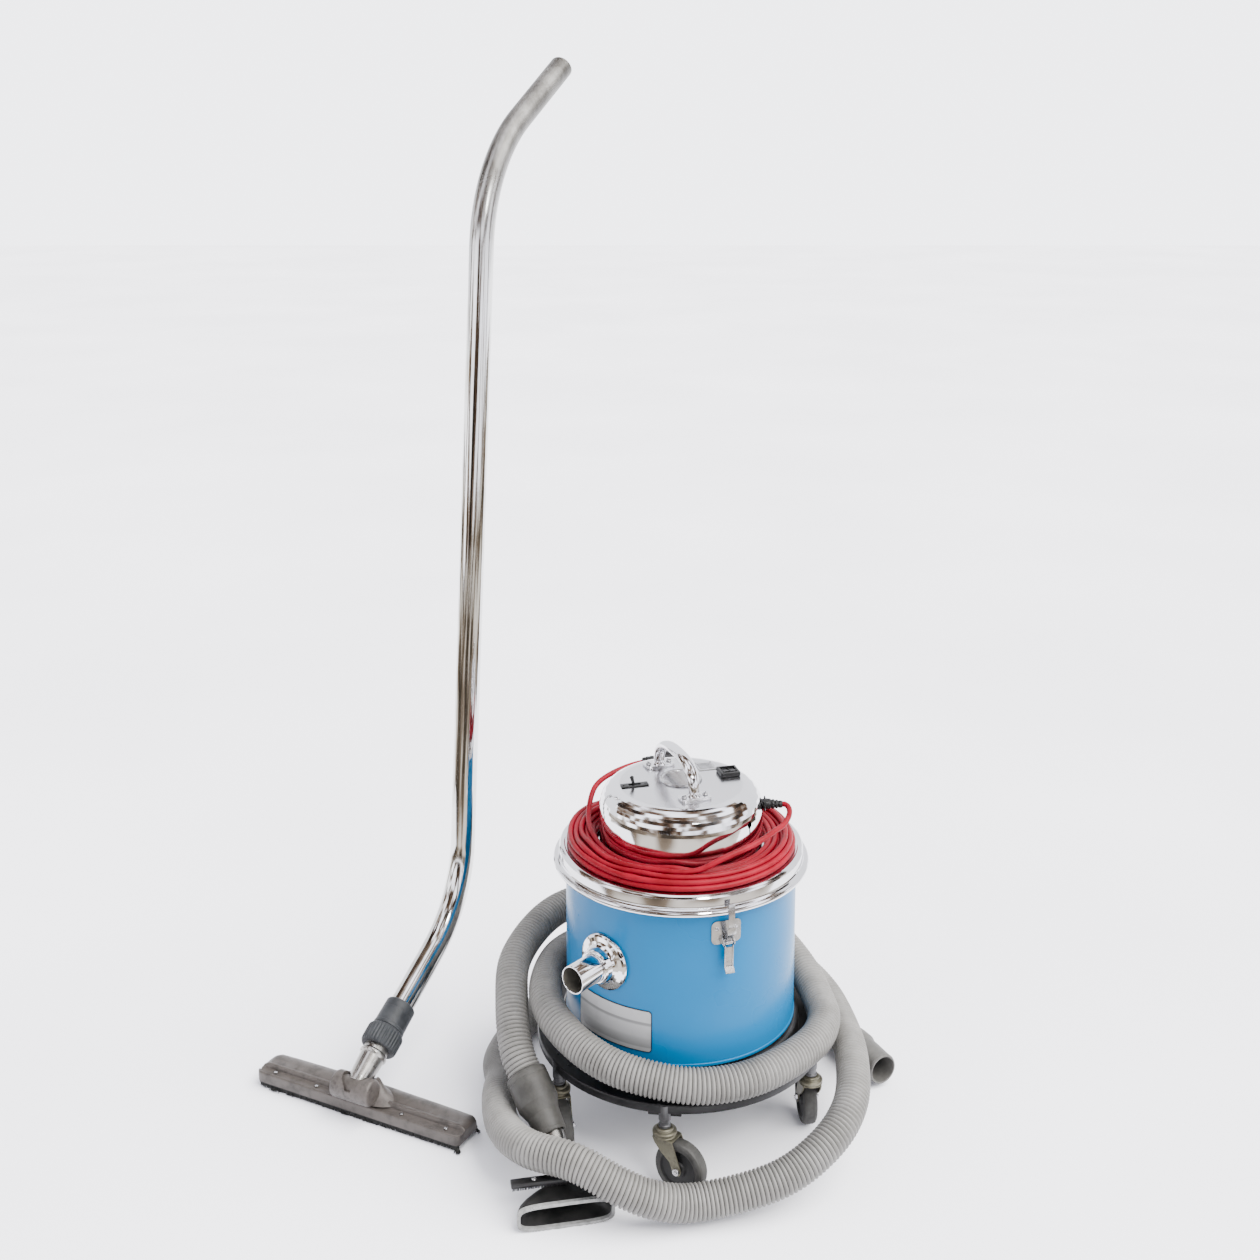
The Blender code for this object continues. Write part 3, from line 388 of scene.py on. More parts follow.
def chrome_look(name, tint=(0.80, 0.80, 0.82), low=0.03, high=0.14, scale=9.0):
    look = Look(name, Metallic=1.0)
    smear = look.noise(scale, 6.0, 0.6)
    look.set("Base Color", look.ramp(smear, [(0.3, tuple(0.90 * c for c in tint)), (0.7, tint)]))
    look.set("Roughness", look.range(smear, low, high, 0.35, 0.75))
    return look.bump(look.noise(420.0, 2.0), 0.02, 0.0002).mat


def steel_look(name, tint, rough=(0.25, 0.5), scale=60.0, metal=1.0, bump=0.15):
    look = Look(name, Metallic=metal)
    stain = look.noise(scale, 6.0, 0.65)
    dark = tuple(0.55 * c for c in tint)
    look.set("Base Color", look.ramp(stain, [(0.32, dark), (0.52, tint), (0.8, tint)]))
    look.set("Roughness", look.range(stain, rough[1], rough[0]))
    return look.bump(look.noise(scale * 9, 3.0), bump, 0.0003).mat


def rubber_look(name, tint, dust, rough=(0.45, 0.75), scale=40.0, bump=0.2, shine=0.3):
    look = Look(name, Specular_IOR_Level=shine)
    wear_and_painted_reflection = look.noise(scale, 8.0, 0.65)
    look.set("Base Color", look.ramp(wear_and_painted_reflection, [(0.36, tint), (0.66, dust)]))
    look.set("Roughness", look.range(wear_and_painted_reflection, rough[0], rough[1]))
    return look.bump(look.noise(scale * 16, 3.0), bump, 0.0002).mat


def paint_look(name, tint, dark):
    look = Look(name, Coat_Weight=0.04, Coat_Roughness=0.12, Specular_IOR_Level=0.14)
    cloud = look.noise(7.0, 3.0, 0.5)
    colour = look.ramp(cloud, [(0.3, tuple(0.93 * c for c in tint)), (0.7, tint)])
    scuff = look.noise(26.0, 9.0, 0.72, (1.0, 1.0, 0.45))
    marks = look.range(scuff, 0.0, 1.0, 0.70, 0.76)
    look.set("Base Color", look.mix(marks, colour, dark))
    look.set("Roughness", look.range(cloud, 0.24, 0.36))
    return look.bump(look.noise(180.0, 2.0), 0.03, 0.0004).mat


CHROME = chrome_look("chrome")
CHROME_BRIM = chrome_look("chrome_brim", (0.74, 0.74, 0.76), 0.04, 0.16, 14.0)
CHROME_TOP = chrome_look("chrome_satin", (0.66, 0.66, 0.68), 0.14, 0.3, 5.0)
CHROME_WORN = chrome_look("chrome_worn", (0.38, 0.37, 0.35), 0.16, 0.4, 30.0)
BLUE = paint_look("blue_enamel", (0.0, 0.098, 0.235), (0.0, 0.034, 0.085))
TRAY = rubber_look("tray_enamel", (0.004, 0.004, 0.0045), (0.013, 0.013, 0.014), (0.3, 0.55), 30.0)
ZINC = steel_look("olive_zinc", (0.16, 0.15, 0.11), (0.28, 0.5), 70.0, 0.85)
STEM = steel_look("stem_steel", (0.10, 0.10, 0.104), (0.3, 0.55), 50.0, 0.8)
STEEL = steel_look("bright_steel", (0.50, 0.50, 0.51), (0.12, 0.32), 90.0)
DARK_STEEL = steel_look("dark_steel", (0.05, 0.05, 0.053), (0.3, 0.5), 60.0)
BLACK = rubber_look("black_plastic", (0.0035, 0.0034, 0.0036), (0.009, 0.009, 0.0095), (0.28, 0.45), 60.0)
COLLAR = rubber_look("collar_plastic", (0.010, 0.0115, 0.0135), (0.024, 0.0262, 0.029), (0.4, 0.6), 45.0)
CUFF = rubber_look("cuff_vinyl", (0.026, 0.025, 0.0225), (0.050, 0.0475, 0.043), (0.42, 0.62), 35.0)
SHELL = rubber_look("tool_shell", (0.0045, 0.0045, 0.0047), (0.017, 0.0165, 0.016), (0.34, 0.55), 35.0)
CUFF_FAR = rubber_look("cuff_grey", (0.058, 0.056, 0.052), (0.100, 0.097, 0.091), (0.42, 0.62), 35.0)
TYRE = rubber_look("tyre_rubber", (0.018, 0.0175, 0.016), (0.046, 0.045, 0.042), (0.5, 0.75), 60.0)
HUB = rubber_look("wheel_core", (0.0035, 0.0035, 0.0038), (0.013, 0.013, 0.013), (0.4, 0.6), 60.0)
RIB = rubber_look("hose_rib", (0.112, 0.108, 0.100), (0.170, 0.165, 0.156), (0.38, 0.55), 16.0, 0.1)
# Groove colour: painted shade, several times darker than the rib, for the shade that falls in the crease
# between ribs.
GROOVE_SHADE = rubber_look("hose_groove_shade", (0.020, 0.019, 0.0165), (0.040, 0.038, 0.034), (0.5, 0.7), 30.0, 0.1)
CORD = rubber_look(
    "cord_jacket", (0.118, 0.0, 0.0040), (0.190, 0.0005, 0.0100), (0.36, 0.52), 30.0, 0.12, 0.12
)
CAST = steel_look("worn_casting", (0.066, 0.057, 0.051), (0.34, 0.55), 42.0, 0.4, 0.35)
CAST_ROUGH = steel_look("rough_casting", (0.074, 0.064, 0.058), (0.36, 0.6), 110.0, 0.4, 0.9)
CAST_EDGE = steel_look("casting_edge", (0.22, 0.21, 0.20), (0.3, 0.45), 60.0, 0.7, 0.2)
BRISTLE = rubber_look("bristle", (0.0028, 0.0028, 0.0028), (0.010, 0.0093, 0.0083), (0.5, 0.8), 200.0)
GREY_RIM = rubber_look("serrated_rim", (0.15, 0.15, 0.146), (0.26, 0.26, 0.255), (0.4, 0.6), 120.0)
FELT = rubber_look("filter_cloth", (0.22, 0.215, 0.205), (0.30, 0.295, 0.28), (0.85, 0.95), 90.0, 0.6)
SEAL = rubber_look("seal_rubber", (0.006, 0.006, 0.006), (0.016, 0.016, 0.016), (0.6, 0.8), 80.0)
INSIDE = rubber_look("bare_inside", (0.040, 0.037, 0.031), (0.085, 0.078, 0.064), (0.4, 0.6), 40.0)


def piece(name, bm, mats, body, replaces=(), slot=None, at=(0, 0, 0), turn=None, angle=38.0):
    """A finished piece of the object: placed, given its looks, and tied to its body."""
    mesh = finish_mesh(bm, name, angle)
    for mat in mats if isinstance(mats, (list, tuple)) else [mats]:
        mesh.materials.append(mat)
    obj = bpy.data.objects.new(name, mesh)
    bpy.context.scene.collection.objects.link(obj)
    spot = Vector(at) + AXIS
    frame_turn = turn if turn is not None else Matrix.Identity(3)
    obj.matrix_world = Matrix.Translation(spot) @ frame_turn.to_4x4()
    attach(obj, body)
    if replaces:
        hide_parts(*([replaces] if isinstance(replaces, str) else replaces))
    return obj


def paint_faces(bm, test, index):
    """Gives the faces that pass the test another material of the piece."""
    for face in bm.faces:
        if test(face.calc_center_median()):
            face.material_index = index
    return bm


# ------------------------------------------------------------------ camera, light and floor

def set_camera():
    data = bpy.data.cameras.new("camera")
    data.sensor_width = 36.0
    data.lens = 45.714
    data.shift_y = -0.1841
    camera = bpy.data.objects.new("camera", data)
    bpy.context.scene.collection.objects.link(camera)
    camera.location = AXIS + Vector((-0.073, -2.154, 1.424))
    camera.rotation_euler = (math.radians(80.1), 0.0, 0.0)
    bpy.context.scene.camera = camera


def area_light(name, spot, target, size, power, tint=(1.0, 1.0, 1.0)):
    data = bpy.data.lights.new(name, "AREA")
    data.shape = "RECTANGLE"
    data.size, data.size_y = size
    data.energy = power
    data.color = tint
    light = bpy.data.objects.new(name, data)
    bpy.context.scene.collection.objects.link(light)
    light.location = spot
    light.rotation_euler = (Vector(target) - Vector(spot)).to_track_quat("-Z", "Y").to_euler()
    return light


def mirrored(name, bm, look):
    """Part of the room round the set: only polished metal sees it."""
    mesh = bpy.data.meshes.new(name)
    bm.to_mesh(mesh)
    bm.free()
    obj = bpy.data.objects.new(name, mesh)
    bpy.context.scene.collection.objects.link(obj)
    mesh.materials.append(look.mat)
    obj.visible_camera = False
    obj.visible_diffuse = False
    obj.visible_shadow = False
    obj.visible_transmission = False


def room_look(name, scale, steps):
    look = Look(name, Roughness=1.0, Specular_IOR_Level=0.0)
    look.set("Base Color", look.ramp(look.noise(scale, 2.0, 0.5, (1.0, 1.0, 1.6)), steps))
    return look


def room():
    """A workshop in front of the paper: dark ceiling and walls with lamps, and a dark floor."""
    radius = 5.0
    bm = bmesh.new()
    rows = [[] for _ in range(49)]
    for i in range(49):
        turn = math.radians(4.0 + 122.0 * i / 48)
        for k in range(49):
            side = math.radians(-86.0 + 172.0 * k / 48)
            rows[i].append(bm.verts.new((
                radius * math.sin(side),
                -radius * math.cos(side) * math.cos(turn),
                radius * math.cos(side) * math.sin(turn),
            )))
    for i in range(48):
        for k in range(48):
            bm.faces.new((rows[i][k], rows[i][k + 1], rows[i + 1][k + 1], rows[i + 1][k]))
    mirrored("room_shell", bm, room_look("room_walls", 0.42, [
        (0.40, (0.012, 0.009, 0.007)), (0.47, (0.050, 0.030, 0.018)), (0.515, (0.17, 0.14, 0.11)),
        (0.545, (0.70, 0.70, 0.72)), (0.62, (0.95, 0.95, 0.98)),
    ]))
    bm = bmesh.new()
    inner, outer = [], []
    for k in range(65):
        a = math.radians(-215.0 + 250.0 * k / 64)
        inner.append(bm.verts.new((1.5 * math.cos(a), 0.66 * math.sin(a), 0.002)))
        outer.append(bm.verts.new((9.0 * math.cos(a), 9.0 * math.sin(a), 0.002)))
    for k in range(64):
        bm.faces.new((inner[k], outer[k], outer[k + 1], inner[k + 1]))
    mirrored("room_floor", bm, room_look("room_boards", 0.55, [
        (0.42, (0.020, 0.016, 0.012)), (0.52, (0.085, 0.066, 0.048)), (0.58, (0.30, 0.28, 0.25)),
    ]))


def studio():
    world = bpy.data.worlds.new("studio")
    bpy.context.scene.world = world
    world.use_nodes = True
    tree = world.node_tree
    back = tree.nodes["Background"]
    back.inputs["Color"].default_value = (0.94, 0.945, 1.0, 1.0)
    seen = tree.nodes.new("ShaderNodeLightPath")
    strength = tree.nodes.new("ShaderNodeMapRange")
    strength.inputs["To Min"].default_value = 2.3
    strength.inputs["To Max"].default_value = 4.5
    tree.links.new(seen.outputs["Is Camera Ray"], strength.inputs["Value"])
    tree.links.new(strength.outputs["Result"], back.inputs["Strength"])
    data = bpy.data.lights.new("window_light", "SUN")
    data.energy = 11.0
    data.angle = math.radians(60.0)
    data.color = (1.0, 0.985, 0.96)
    window = bpy.data.objects.new("window_light", data)
    bpy.context.scene.collection.objects.link(window)
    window.rotation_euler = Vector((-2.0, 0.7, -2.6)).to_track_quat("-Z", "Y").to_euler()
    area_light("lamp", (1.2, -2.6, 2.9), (0.2, -0.1, 0.4), (0.5, 0.5), 40.0)
    room()


def floor():
    bm = bmesh.new()
    bmesh.ops.create_grid(bm, x_segments=2, y_segments=2, size=16.0)
    mesh = bpy.data.meshes.new("floor")
    bm.to_mesh(mesh)
    bm.free()
    obj = bpy.data.objects.new("floor", mesh)
    bpy.context.scene.collection.objects.link(obj)
    look = Look("floor_paper", Roughness=0.85, Specular_IOR_Level=0.25)
    cloud = look.noise(0.9, 3.0, 0.5)
    look.set("Base Color", look.ramp(cloud, [(0.35, (0.80, 0.80, 0.84)), (0.65, (0.86, 0.86, 0.90))]))
    mesh.materials.append(look.mat)


# ------------------------------------------------------------------ hose

HOSE_R = 0.024
RIB_PITCH = 0.0060
HOSE_POINTS = (
    (-0.2180, -0.1300, 0.1200),
    (-0.2325, -0.1050, 0.1415),
    (-0.2425, -0.0430, 0.1760),
    (-0.2410, 0.0450, 0.2000),
    (-0.1900, 0.1560, 0.2130),
    (-0.1000, 0.2170, 0.2120),
    (0.0000, 0.2280, 0.2080),
    (0.0910, 0.1950, 0.1980),
    (0.1480, 0.1440, 0.1820),
    (0.1850, 0.0830, 0.1620),
    (0.2030, 0.0150, 0.1490),
    (0.2060, -0.0400, 0.1465),
    (0.1780, -0.1050, 0.1470),
    (0.1020, -0.1760, 0.1470),
    (0.0210, -0.2010, 0.1472),
    (-0.0600, -0.1920, 0.1560),
    (-0.1150, -0.1660, 0.1640),
    (-0.1600, -0.1240, 0.1760),
    (-0.1890, -0.0730, 0.1880),
    (-0.1940, 0.0000, 0.1900),
    (-0.1720, 0.0900, 0.1830),
    (-0.1050, 0.1700, 0.1660),
    (0.0000, 0.2040, 0.1480),
    (0.0660, 0.2060, 0.1480),
    (0.1290, 0.1930, 0.1400),
    (0.1850, 0.1560, 0.1240),
    (0.2230, 0.0960, 0.1110),
    (0.2400, 0.0160, 0.1050),
    (0.2430, -0.0700, 0.1060),
    (0.2300, -0.1600, 0.0980),
    (0.1930, -0.2180, 0.0780),
    (0.1240, -0.2580, 0.0500),
    (0.0200, -0.2790, 0.0330),
    (-0.0400, -0.2900, 0.0430),
    (-0.0900, -0.2860, 0.0620),
    (-0.1460, -0.2680, 0.0825),
    (-0.2090, -0.2360, 0.0800),
    (-0.2460, -0.1720, 0.0680),
    (-0.2585, -0.1000, 0.0640),
    (-0.2610, -0.0200, 0.0385),
    (-0.2700, 0.0560, 0.0258),
    (-0.2440, 0.1440, 0.0250),
    (-0.1960, 0.2185, 0.0250),
    (-0.1100, 0.2720, 0.0250),
    (-0.0100, 0.2900, 0.0250),
    (0.0900, 0.2790, 0.0250),
    (0.1730, 0.2380, 0.0250),
    (0.2210, 0.1850, 0.0255),
    (0.2515, 0.1190, 0.0275),
    (0.2660, 0.0920, 0.0290),
)
NECK_START = Vector((-0.1785, -0.1900, 0.0675))
NECK_END = Vector((-0.1690, -0.2370, 0.0300))
CUFF_MOUTH = Vector((0.3040, 0.0210, 0.0290))
MOUTH = Vector((-0.157, -0.279, 0.0186))
MOUTH_ANGLE = 11.5


def hose_line():
    line = blurred(evenly(smooth_route(HOSE_POINTS), 0.004)[0], 12)
    return line


def hose():
    """The ribbed hose: a round crest and a narrow groove every 6 mm."""
    line = hose_line()
    first = (Vector(line[0]) - NECK_START).normalized()
    last = (Vector(line[-1]) - CUFF_MOUTH).normalized()
    start = np.array(Vector(line[0]) - first * 0.010)
    end = np.array(Vector(line[-1]) - last * 0.010)
    whole = np.concatenate([[start], line, [end]])
    ribs = int(evenly(whole, RIB_PITCH)[1] / RIB_PITCH)
    steps = (0.0, 0.14, 0.26, 0.40, 0.63, 0.86)
    sizes = (0.0211, 0.0211, 0.0229, 0.0238, 0.0240, 0.0230)
    gaps = np.linalg.norm(np.diff(whole, axis=0), axis=1)
    at = np.concatenate([[0.0], np.cumsum(gaps)])
    want = np.array([(k + s) for k in range(ribs) for s in steps]) * at[-1] / ribs
    radii = np.array([r for _ in range(ribs) for r in sizes])
    path = np.stack([np.interp(want, at, whole[:, i]) for i in range(3)], axis=1)
    bm, rows = tube(path, HOSE_R, 18, radii=radii)
    # The groove row of each rib takes the second, darker material: painted shade in the crease.
    for i, row in enumerate(rows):
        if i % len(steps) in (0, 1, 5):
            for face in row:
                face.material_index = 1 if i % len(steps) == 0 else 0
    obj = piece("vacuum_hose", bm, [RIB, GROOVE_SHADE], "base", "hose", "hose_vinyl", angle=70.0)
    length = evenly(whole, RIB_PITCH)[1]
    world = [tuple(Vector(p) + AXIS) for p in evenly(whole, 0.012)[0]]
    return obj, world, length


def cuff(name, start, way, length, wide, narrow, step_at, look, node, slot="cuff_vinyl"):
    bore = narrow - 0.0030
    profile = [
        (bore, length),
        (narrow - 0.0006, length),
        (narrow + 0.0006, length - 0.0035),
        (narrow + 0.0002, length - 0.0055),
        (narrow + 0.0018, step_at + 0.010),
        (wide - 0.0030, step_at + 0.002),
        (wide, step_at - 0.006),
        (wide, 0.012),
        (wide - 0.0006, 0.0105),
        (wide, 0.009),
        (wide - 0.0004, 0.002),
        (wide - 0.0022, 0.0003),
        (HOSE_R + 0.0003, 0.0003),
        (HOSE_R + 0.0003, 0.0125),
        (bore, 0.016),
    ]
    bm = lathe(profile, 72, closed=True, fillet=0.0012)
    return piece(name, bm, look, "base", node, slot, at=start, turn=along(way))


def hose_cuffs():
    start = Vector(HOSE_POINTS[0])
    way = NECK_START - start
    length = way.length - 2 * GAP
    one = cuff("tool_cuff_sleeve", start, way, length, 0.0290, 0.0212, 0.050, CUFF, "tool_cuff")
    start = Vector(HOSE_POINTS[-1])
    way = CUFF_MOUTH - start
    two = cuff("machine_cuff_sleeve", start, way, way.length, 0.0272, 0.0225, 0.030, CUFF_FAR, "machine_cuff")
    return one, two


# ------------------------------------------------------------------ hand tool

def neck_line():
    first = (NECK_START - Vector(HOSE_POINTS[0])).normalized()
    last = (MOUTH - NECK_END).normalized()
    points = [
        NECK_START - first * 0.012,
        NECK_START + first * 0.007,
        NECK_START.lerp(NECK_END, 0.55),
        NECK_END - last * 0.006,
        NECK_END + last * 0.004,
    ]
    return smooth_route(points, 10)


def hand_tool_neck():
    path = neck_line()
    outer, _ = tube(path, 0.0160, 40, caps=False)
    inner, _ = tube(path, 0.0146, 40, caps=False)
    bm = merge(outer, inner)
    for which in (0, -1):
        ends = [e for e in bm.edges if e.is_boundary]
        near = [e for e in ends if (e.verts[0].co - Vector(path[which])).length < 0.02]
        bmesh.ops.bridge_loops(bm, edges=near)
    return piece("hand_tool_neck", bm, CHROME_WORN, "base", "tool_neck", "chrome")


def super_ring(half_w, half_h, power, count):
    ring = []
    for k in range(count):
        a = 2 * math.pi * k / count
        x = math.copysign(abs(math.cos(a)) ** power, math.cos(a)) * half_w
        z = math.copysign(abs(math.sin(a)) ** power, math.sin(a)) * half_h
        ring.append((x, z))
    return ring


def loft(rings, closed_ends=False):
    bm = bmesh.new()
    loops = [[bm.verts.new(p) for p in ring] for ring in rings]
    for one, two in zip(loops, loops[1:]):
        for i in range(len(one)):
            j = (i + 1) % len(one)
            bm.faces.new((one[i], two[i], two[j], one[j]))
    if closed_ends:
        bm.faces.new(loops[0])
        bm.faces.new(list(reversed(loops[-1])))
    return bm


def hand_tool():
    """The upholstery nozzle: a flared shell, a pale serrated lip, a brush bar and its screw."""
    turn = about_z(MOUTH_ANGLE)
    wide = turn @ Vector((1, 0, 0))
    way = (MOUTH - NECK_END).normalized()
    lean = way.cross(wide).normalized()
    lean = lean if lean.z > 0 else -lean
    level = Vector((0, 0, 1))
    keys = (
        (0.00, 0.0172, 0.0172, 1.00, 1.0),
        (0.10, 0.0176, 0.0172, 0.98, 1.0),
        (0.22, 0.0205, 0.0170, 0.92, 0.9),
        (0.42, 0.0380, 0.0166, 0.70, 0.5),
        (0.62, 0.0510, 0.0166, 0.60, 0.2),
        (0.82, 0.0595, 0.0174, 0.50, 0.0),
        (1.00, 0.0640, 0.0182, 0.45, 0.0),
    )
    rings = []
    for inward in (0.0, 0.0018):
        shell = []
        for i in range(25):
            t = i / 24
            row = [float(np.interp(t, [k[0] for k in keys], [k[c] for k in keys])) for c in (1, 2, 3, 4)]
            up = (lean * row[3] + level * (1 - row[3])).normalized()
            centre = NECK_END.lerp(MOUTH, t)
            ring = super_ring(row[0] - inward, row[1] - inward, row[2], 72)
            shell.append([centre + wide * x + up * z for x, z in ring])
        rings += shell if inward == 0.0 else list(reversed(shell))
    bm = loft(rings + [rings[0]])
    made = [piece("hand_tool_shell", bm, SHELL, "base", "hand_tool", "cuff_vinyl")]

    count = 150
    loops = []
    for y, grow, tooth in ((-0.0016, 0.0, 0.0), (-0.0074, 0.0, 0.0010), (-0.0078, -0.0022, 0.0010),
                           (-0.0074, -0.0042, 0.0), (-0.0016, -0.0042, 0.0)):
        ring = super_ring(0.0645 + grow, 0.0183 + grow, 0.45, count)
        loop = []
        for k, (x, z) in enumerate(ring):
            step = tooth if k % 2 else 0.0
            loop.append(Vector((x, y + step, z)))
        loops.append(loop)
    rim = loft(loops + [loops[0]])
    made.append(piece("hand_tool_rim", rim, GREY_RIM, "base", "tool_rim", "pale_rim", MOUTH, turn, 30.0))

    spot = MOUTH + turn @ Vector((-0.030, 0.022, 0.0319))
    holder = box((0.078, 0.014, 0.0066), (0, 0, 0.0016), 0.0016)
    tufts = []
    for i in range(38):
        for j in range(3):
            x = -0.0365 + i * 0.00197 + random.uniform(-0.0005, 0.0005)
            y = -0.0045 + j * 0.0045 + random.uniform(-0.0006, 0.0006)
            tuft = rod(0.0008, 0.0050, 5, (x, y, -0.0027), radius_2=0.0009)
            tufts.append(tuft)
    bar = merge(holder, *tufts)
    made.append(piece("hand_tool_brush", bar, BLACK, "base", "tool_brush", "black_plastic", spot, turn))
    head = lathe([(0, 0.0020), (0.0022, 0.0018), (0.0035, 0.0006), (0.0035, 0)], 28, fillet=0.0005)
    slit = box((0.0060, 0.0008, 0.0004), (0, 0, 0.0021))
    screw = merge(head, slit)
    made.append(piece("hand_tool_screw", screw, STEEL, "base", "brush_screw", "steel",
                      spot + turn @ Vector((-0.008, 0, 0.005 + GAP)), turn))
    return made


# ------------------------------------------------------------------ power cord

TURN_STEPS = 120
CORD_TURNS = 10
LEAD_END = (0.1460, RELIEF_ANGLE - 26.0, 0.447 + CORD_R + GAP)
PLUG_SPOT = polar(0.1415, 92.0, 0.447 + 0.0165 + GAP)
PLUG_TURN = 2.0


def winding():
    """The turns on the brim: each starts in its own layer, then all settle against each other."""
    tail = PLUG_SPOT - polar(0.050 + GAP, PLUG_TURN)
    tail_angle = math.degrees(math.atan2(tail.y, tail.x))
    tail_r = math.hypot(tail.x, tail.y)
    start = LEAD_END[1]
    sweep = (start - tail_angle) % 360.0 + 360.0 * CORD_TURNS
    n = int(sweep / 360.0 * TURN_STEPS)
    step = sweep / n
    layers = (
        (0.138, 0.4440), (0.147, 0.4300), (0.153, 0.4180), (0.158, 0.4100), (0.150, 0.4100),
        (0.142, 0.4100), (0.134, 0.4110), (0.139, 0.4200), (0.147, 0.4200), (0.142, 0.4300),
        (0.133, 0.4400), (0.136, 0.4480),
    )
    radius = np.zeros(n + 1)
    height = np.zeros(n + 1)
    wobble = RNG.uniform(0, 2 * math.pi, (len(layers), 3))
    for i in range(n + 1):
        place = i * step / 360.0
        k = min(int(place), len(layers) - 2)
        t = place - k
        blend = 0.5 - 0.5 * math.cos(math.pi * min(1.0, max(0.0, (t - 0.35) / 0.65)))
        r = layers[k][0] * (1 - blend) + layers[k + 1][0] * blend
        z = layers[k][1] * (1 - blend) + layers[k + 1][1] * blend
        a = math.radians(start - i * step)
        w = wobble[k] * (1 - blend) + wobble[k + 1] * blend
        top = max(0.0, (z - 0.420) / 0.03)
        r += 0.0035 * math.sin(a + w[0]) + 0.0020 * math.sin(2 * a + w[1]) + 0.006 * top * math.cos(a)
        z += 0.0040 * math.sin(a + w[2]) * top - 0.0070 * top * math.cos(a - 0.4)
        radius[i] = r
        height[i] = z
    low = LID_TOP + 0.0006 + CORD_R
    apart = 2 * CORD_R * 1.01
    index = np.arange(n + 1)
    for _ in range(420):
        height -= 0.00012
        for line in (radius, height):
            line[1:-1] += 0.30 * (0.5 * (line[:-2] + line[2:]) - line[1:-1])
        for gap in range(1, CORD_TURNS + 1):
            off = gap * TURN_STEPS
            if off > n:
                break
            for near in (-1, 0, 1):
                lo = max(0, -near)
                a = index[lo: n + 1 - off - max(0, near)]
                b = a + off + near
                dr = radius[b] - radius[a]
                dz = height[b] - height[a]
                far = np.hypot(dr, dz) + 1e-9
                push = np.clip(apart - far, 0.0, None) * 0.25
                radius[a] -= dr / far * push
                radius[b] += dr / far * push
                height[a] -= dz / far * push
                height[b] += dz / far * push
        height[:] = np.maximum(height, low)
        radius[:] = np.clip(radius, 0.1238, 0.1605)
        radius[0], height[0] = LEAD_END[0], LEAD_END[2]
        radius[-1], height[-1] = tail_r, tail.z
        for k in range(1, 14):
            t = 1.0 - k / 14.0
            height[k] = max(height[k], LEAD_END[2] - 0.0105 * (1 - t) ** 1.4 - 0.0004)
            height[-1 - k] = max(height[-1 - k], tail.z - 0.0135 * (1 - t) ** 1.2)
            radius[-1 - k] += 0.3 * t * (tail_r - radius[-1 - k])
    angles = np.radians(start - index * step)
    return np.stack([radius * np.cos(angles), radius * np.sin(angles), height], axis=1)


def power_cord():
    lead = smooth_route([
        polar(0.1143 + 0.027, RELIEF_ANGLE, RELIEF_Z),
        polar(0.1495, RELIEF_ANGLE, RELIEF_Z),
        polar(0.1545, RELIEF_ANGLE - 4.5, RELIEF_Z - 0.0020),
        polar(0.1550, RELIEF_ANGLE - 10.0, RELIEF_Z - 0.0062),
        polar(0.1510, RELIEF_ANGLE - 18.0, 0.447 + CORD_R + 0.0006),
        polar(*LEAD_END),
    ], 8)
    turns = winding()
    into = PLUG_SPOT - polar(0.046, PLUG_TURN)
    path = np.concatenate([lead[:-1], turns, [np.array(into)]])
    path, length = evenly(blurred(path, 6), 0.0062)
    bm, _ = tube(path, CORD_R, 12)
    obj = piece("power_cord", bm, CORD, "head", ("cord_coil", "cord_lead"), "cord_red", angle=70.0)
    return obj, [tuple(Vector(p) + AXIS) for p in path], length


def mains_plug():
    """A moulded grounded plug with its blades and a ribbed tail."""
    body = [
        (0.0, 0.0), (0.0120, 0.0), (0.0152, -0.0015), (0.0165, -0.0040), (0.0165, -0.0155),
        (0.0140, -0.0215), (0.0110, -0.0265), (0.0095, -0.0320), (0.0088, -0.0330),
        (0.0095, -0.0340), (0.0090, -0.0380), (0.0080, -0.0390), (0.0086, -0.0400),
        (0.0080, -0.0440), (0.0070, -0.0450), (0.0075, -0.0460), (0.0062, -0.0500), (0.0, -0.0500),
    ]
    shell = lathe(body, 56, fillet=0.0012)
    blades = []
    for side in (-1, 1):
        blade = box((0.0015, 0.0063, 0.020), (side * 0.0064, 0, 0.008), 0.0005)
        blades.append(paint_faces(blade, lambda c: True, 1))
    pin = lathe([(0, 0.0200), (0.0012, 0.0198), (0.0024, 0.0180), (0.0024, -0.002), (0, -0.002)], 24)
    bmesh.ops.translate(pin, vec=(0, 0.0078, 0), verts=pin.verts)
    blades.append(paint_faces(pin, lambda c: True, 1))
    return piece("mains_plug", merge(shell, *blades), [BLACK, STEEL], "head", "plug", "black_plastic",
                 PLUG_SPOT, along(polar(1.0, PLUG_TURN)))


def strain_relief():
    out = along(polar(1.0, RELIEF_ANGLE))
    profile = [
        (0.0, 0.030), (0.0046, 0.030), (0.0052, 0.0280), (0.0055, 0.0262), (0.0049, 0.0250),
        (0.0049, 0.0240), (0.0060, 0.0232), (0.0063, 0.0210), (0.0055, 0.0198), (0.0055, 0.0188),
        (0.0067, 0.0180), (0.0070, 0.0158), (0.0061, 0.0146), (0.0061, 0.0136), (0.0074, 0.0128),
        (0.0078, 0.0062), (0.0110, 0.0055), (0.0110, 0.0035), (0.0070, 0.0030), (0.0070, -0.0100),
        (0.0, -0.0100),
    ]
    bm = lathe(profile, 48, fillet=0.0004)
    return piece("cord_relief", bm, BLACK, "head", "strain_relief", "black_plastic",
                 polar(0.1143, RELIEF_ANGLE, RELIEF_Z), out)


# ------------------------------------------------------------------ dolly and casters

